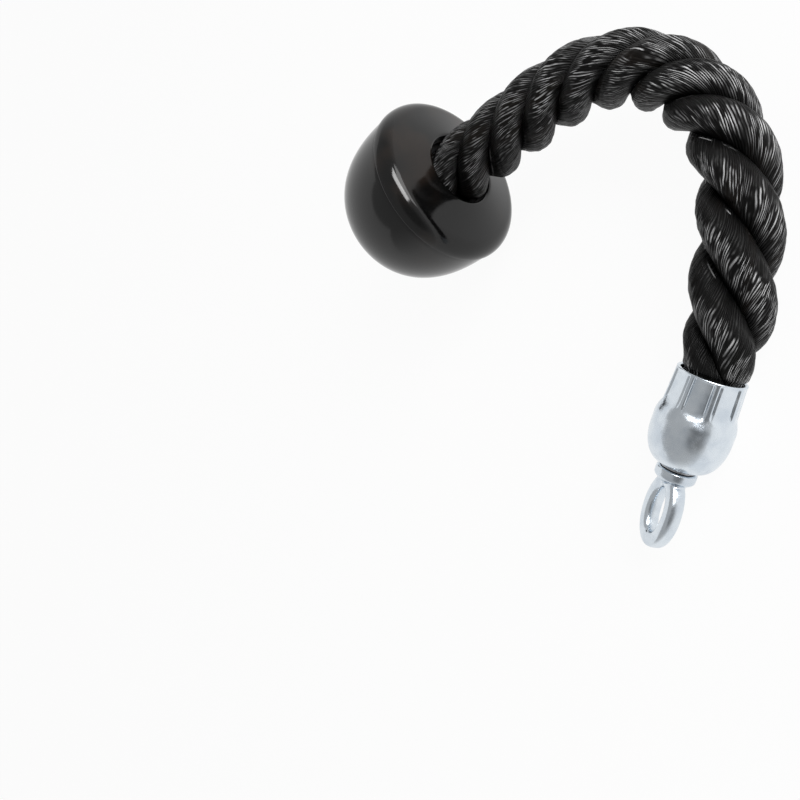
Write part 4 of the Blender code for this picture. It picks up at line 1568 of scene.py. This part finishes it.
@dataclass
class Studio:
    """Camera, floor, soft boxes and the light of the room."""

    bend: BendFrame
    camera_place: Triple = (311.09 * MM, -91.28 * MM, 300.23 * MM)
    camera_right: Triple = (0.648543, 0.002051, -0.761183)
    camera_up: Triple = (-0.020636, 0.999679, -0.01489)
    camera_back: Triple = (0.760899, 0.025363, 0.648371)
    lens: float = 43.784
    sensor_width: float = 36.0
    nearest: float = 10.0 * MM
    floor_run: tuple[float, ...] = (-2.5, -1.0, 0.0, 1.2)
    floor_half_width: float = 3.0
    floor_drop: float = 0.2 * MM
    cove_radius: float = 0.8
    backdrop_height: float = 2.4
    lit_point: Triple = (0.0, 0.0, 20.0 * MM)
    room_light: float = 0.28
    shades: tuple[Shade, ...] = (
        Shade((-0.70, 0.00, 0.72), 102.0, 58.0, 0.47),
        Shade((-0.06, -0.36, 0.93), 34.0, 12.0, 0.45),
    )
    lamps: tuple[Lamp, ...] = (
        Lamp("key_box", (0.04, 0.42, 0.91), 1.1, (0.62, 0.37), -52.0, 9.6),
        Lamp("wide_box", (0.46, 0.52, 0.72), 1.25, (0.85, 0.60), 0.0, 6.4),
    )

    def axes(self) -> Matrix:
        """The camera's directions in the world.

        Returns:
            A matrix whose columns point right, up and back.
        """
        rows = [np.array(self.camera_right), np.array(self.camera_up), np.array(self.camera_back)]
        zero = np.array(self.bend.origin)
        world = [Vector(self.bend.to_world(row) - zero).normalized() for row in rows]
        return Matrix(world).transposed()

    def place_camera(self) -> None:
        """Puts the camera where the photograph was taken from."""
        data = bpy.data.cameras.new("photo_camera")
        data.lens = self.lens
        data.sensor_width = self.sensor_width
        data.clip_start = self.nearest
        camera = bpy.data.objects.new("photo_camera", data)
        bpy.context.scene.collection.objects.link(camera)
        place = Vector(self.bend.to_world(np.array(self.camera_place)))
        camera.matrix_world = Matrix.Translation(place) @ self.axes().to_4x4()
        bpy.context.scene.camera = camera

    def lay_floor(self, material: bpy.types.Material) -> None:
        """Lays the paper flat under the object and curves it up far behind it.

        Args:
            material: The paper's finish.
        """
        back = -Vector(self.axes().col[2])
        back.z = 0.0
        back.normalize()
        up = Vector((0.0, 0.0, 1.0))
        side = up.cross(back)
        bend_start, radius = self.floor_run[-1], self.cove_radius
        run = [(depth, 0.0) for depth in self.floor_run]
        run += [
            (bend_start + radius * math.sin(angle), radius - radius * math.cos(angle))
            for angle in np.linspace(0.1, math.pi / 2, 16)
        ]
        run += [(bend_start + radius, self.backdrop_height)]
        widths = np.linspace(-self.floor_half_width, self.floor_half_width, 7)
        rows = [
            [list(back * depth + side * wide + up * (height - self.floor_drop)) for wide in widths]
            for depth, height in run
        ]
        mesh = mesh_from_grid("studio_paper", np.array(rows), False)
        add_piece("studio_paper", mesh, material)

    def hang_lamps(self, target: Vector) -> None:
        """Hangs the soft boxes round a target.

        Args:
            target: The point that they shine on.
        """
        axes = self.axes()
        for lamp in self.lamps:
            data = bpy.data.lights.new(lamp.name, "AREA")
            data.shape = "RECTANGLE"
            data.size, data.size_y = lamp.size
            data.energy = lamp.power
            light = bpy.data.objects.new(lamp.name, data)
            bpy.context.scene.collection.objects.link(light)
            towards = (axes @ Vector(lamp.towards)).normalized()
            roll = math.radians(lamp.roll_deg)
            across = axes @ Vector((math.cos(roll), math.sin(roll), 0.0))
            up = towards.cross(across).normalized()
            across = up.cross(towards)
            turn = Matrix((across, up, towards)).transposed().to_4x4()
            light.matrix_world = Matrix.Translation(target + towards * lamp.distance) @ turn

    def light_room(self) -> None:
        """Gives the room its light: white for the camera and glass, with dimmer sides for gloss."""
        world = bpy.data.worlds.new("studio_room")
        bpy.context.scene.world = world
        world.use_nodes = True
        world.node_tree.nodes.clear()
        room = Wiring(world.node_tree)
        direction = room.node("ShaderNodeTexCoord").outputs["Generated"]
        gloss = room.product(*(self.shade_share(room, direction, shade) for shade in self.shades))
        path = room.node("ShaderNodeLightPath").outputs
        shown = room.sum_up("MAXIMUM", path["Is Camera Ray"], path["Is Transmission Ray"])
        level = room.node("ShaderNodeMix")
        level.data_type = "FLOAT"
        for entry, value in ((0, path["Is Glossy Ray"]), (2, self.room_light), (3, gloss)):
            room.feed(level.inputs[entry], value)
        strength = room.sum_up("MAXIMUM", shown, level.outputs[0])
        background = room.node("ShaderNodeBackground", Color=paint(WHITE), Strength=strength)
        room.node("ShaderNodeOutputWorld", Surface=background.outputs[0])

    def shade_share(self, room: Wiring, direction: Socket, shade: Shade) -> Socket:
        """How much light comes from each direction once a side of the room is dimmed.

        Args:
            room: The room's node tree.
            direction: The direction looked in.
            shade: The dimmed side.

        Returns:
            The share of light that is left.
        """
        facing = room.node("ShaderNodeVectorMath")
        facing.operation = "DOT_PRODUCT"
        middle = (self.axes() @ Vector(shade.towards)).normalized()
        for entry, value in zip(facing.inputs, (direction, middle)):
            room.feed(entry, value)
        start, full = (math.cos(math.radians(angle)) for angle in (shade.start_deg, shade.full_deg))
        return room.spread(facing.outputs["Value"], (start, full), (1.0, shade.share))

    def build(self) -> None:
        """Sets up the whole studio."""
        bpy.context.scene.view_settings.view_transform = "Standard"
        self.place_camera()
        self.lay_floor(StudioPaper().make())
        self.light_room()
        self.hang_lamps(Vector(self.lit_point))


def rope_axis(bend: BendFrame, route: RopeRoute, s: float, towards: float) -> Axis:
    """A frame on the rope's centreline, for a piece that is turned round the rope.

    Args:
        bend: The frame of the bend.
        route: The rope's route.
        s: The distance along the rope.
        towards: 1 where its Z axis points on along the rope, or -1 where it points back.

    Returns:
        The frame.
    """
    place = np.array([s])
    base = np.array(bend.origin)
    along = (bend.to_world(route.along(place))[0] - base) * towards
    left = (bend.to_world(route.left(place))[0] - base) * towards
    return Axis(bend.to_world(route.middle(place))[0], left, np.array(bend.z_axis), along)


def main() -> None:
    """Builds the studio, the rope, the stopper, the ferrule and the eye, and finishes the hidden parts."""
    logging.basicConfig(level=logging.INFO, format="%(name)s: %(message)s")
    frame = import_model()
    route = RopeRoute()
    bend = BendFrame.from_joints(frame["joints"], route)
    Studio(bend).build()
    steel = PlatedSteel().make()
    rope = LaidRope(route, bend)
    rope.build(RopeFibre().make())
    rope.dress()
    stopper = Stopper(rope_axis(bend, route, 0.0, 1.0).moved(-Stopper.face_height))
    stopper.build(MouldedPlastic().make())
    stopper.dress()
    mouth = rope_axis(bend, route, route.free_length, -1.0)
    cup = Ferrule(mouth)
    cup.build(steel)
    cup.dress()
    eye = SwivelEye(mouth.turned(math.radians(SwivelEye.turned_deg)))
    eye.build(steel)
    eye.dress()
    HiddenParts().dress(frame["nodes"])


if __name__ == "__main__":
    main()
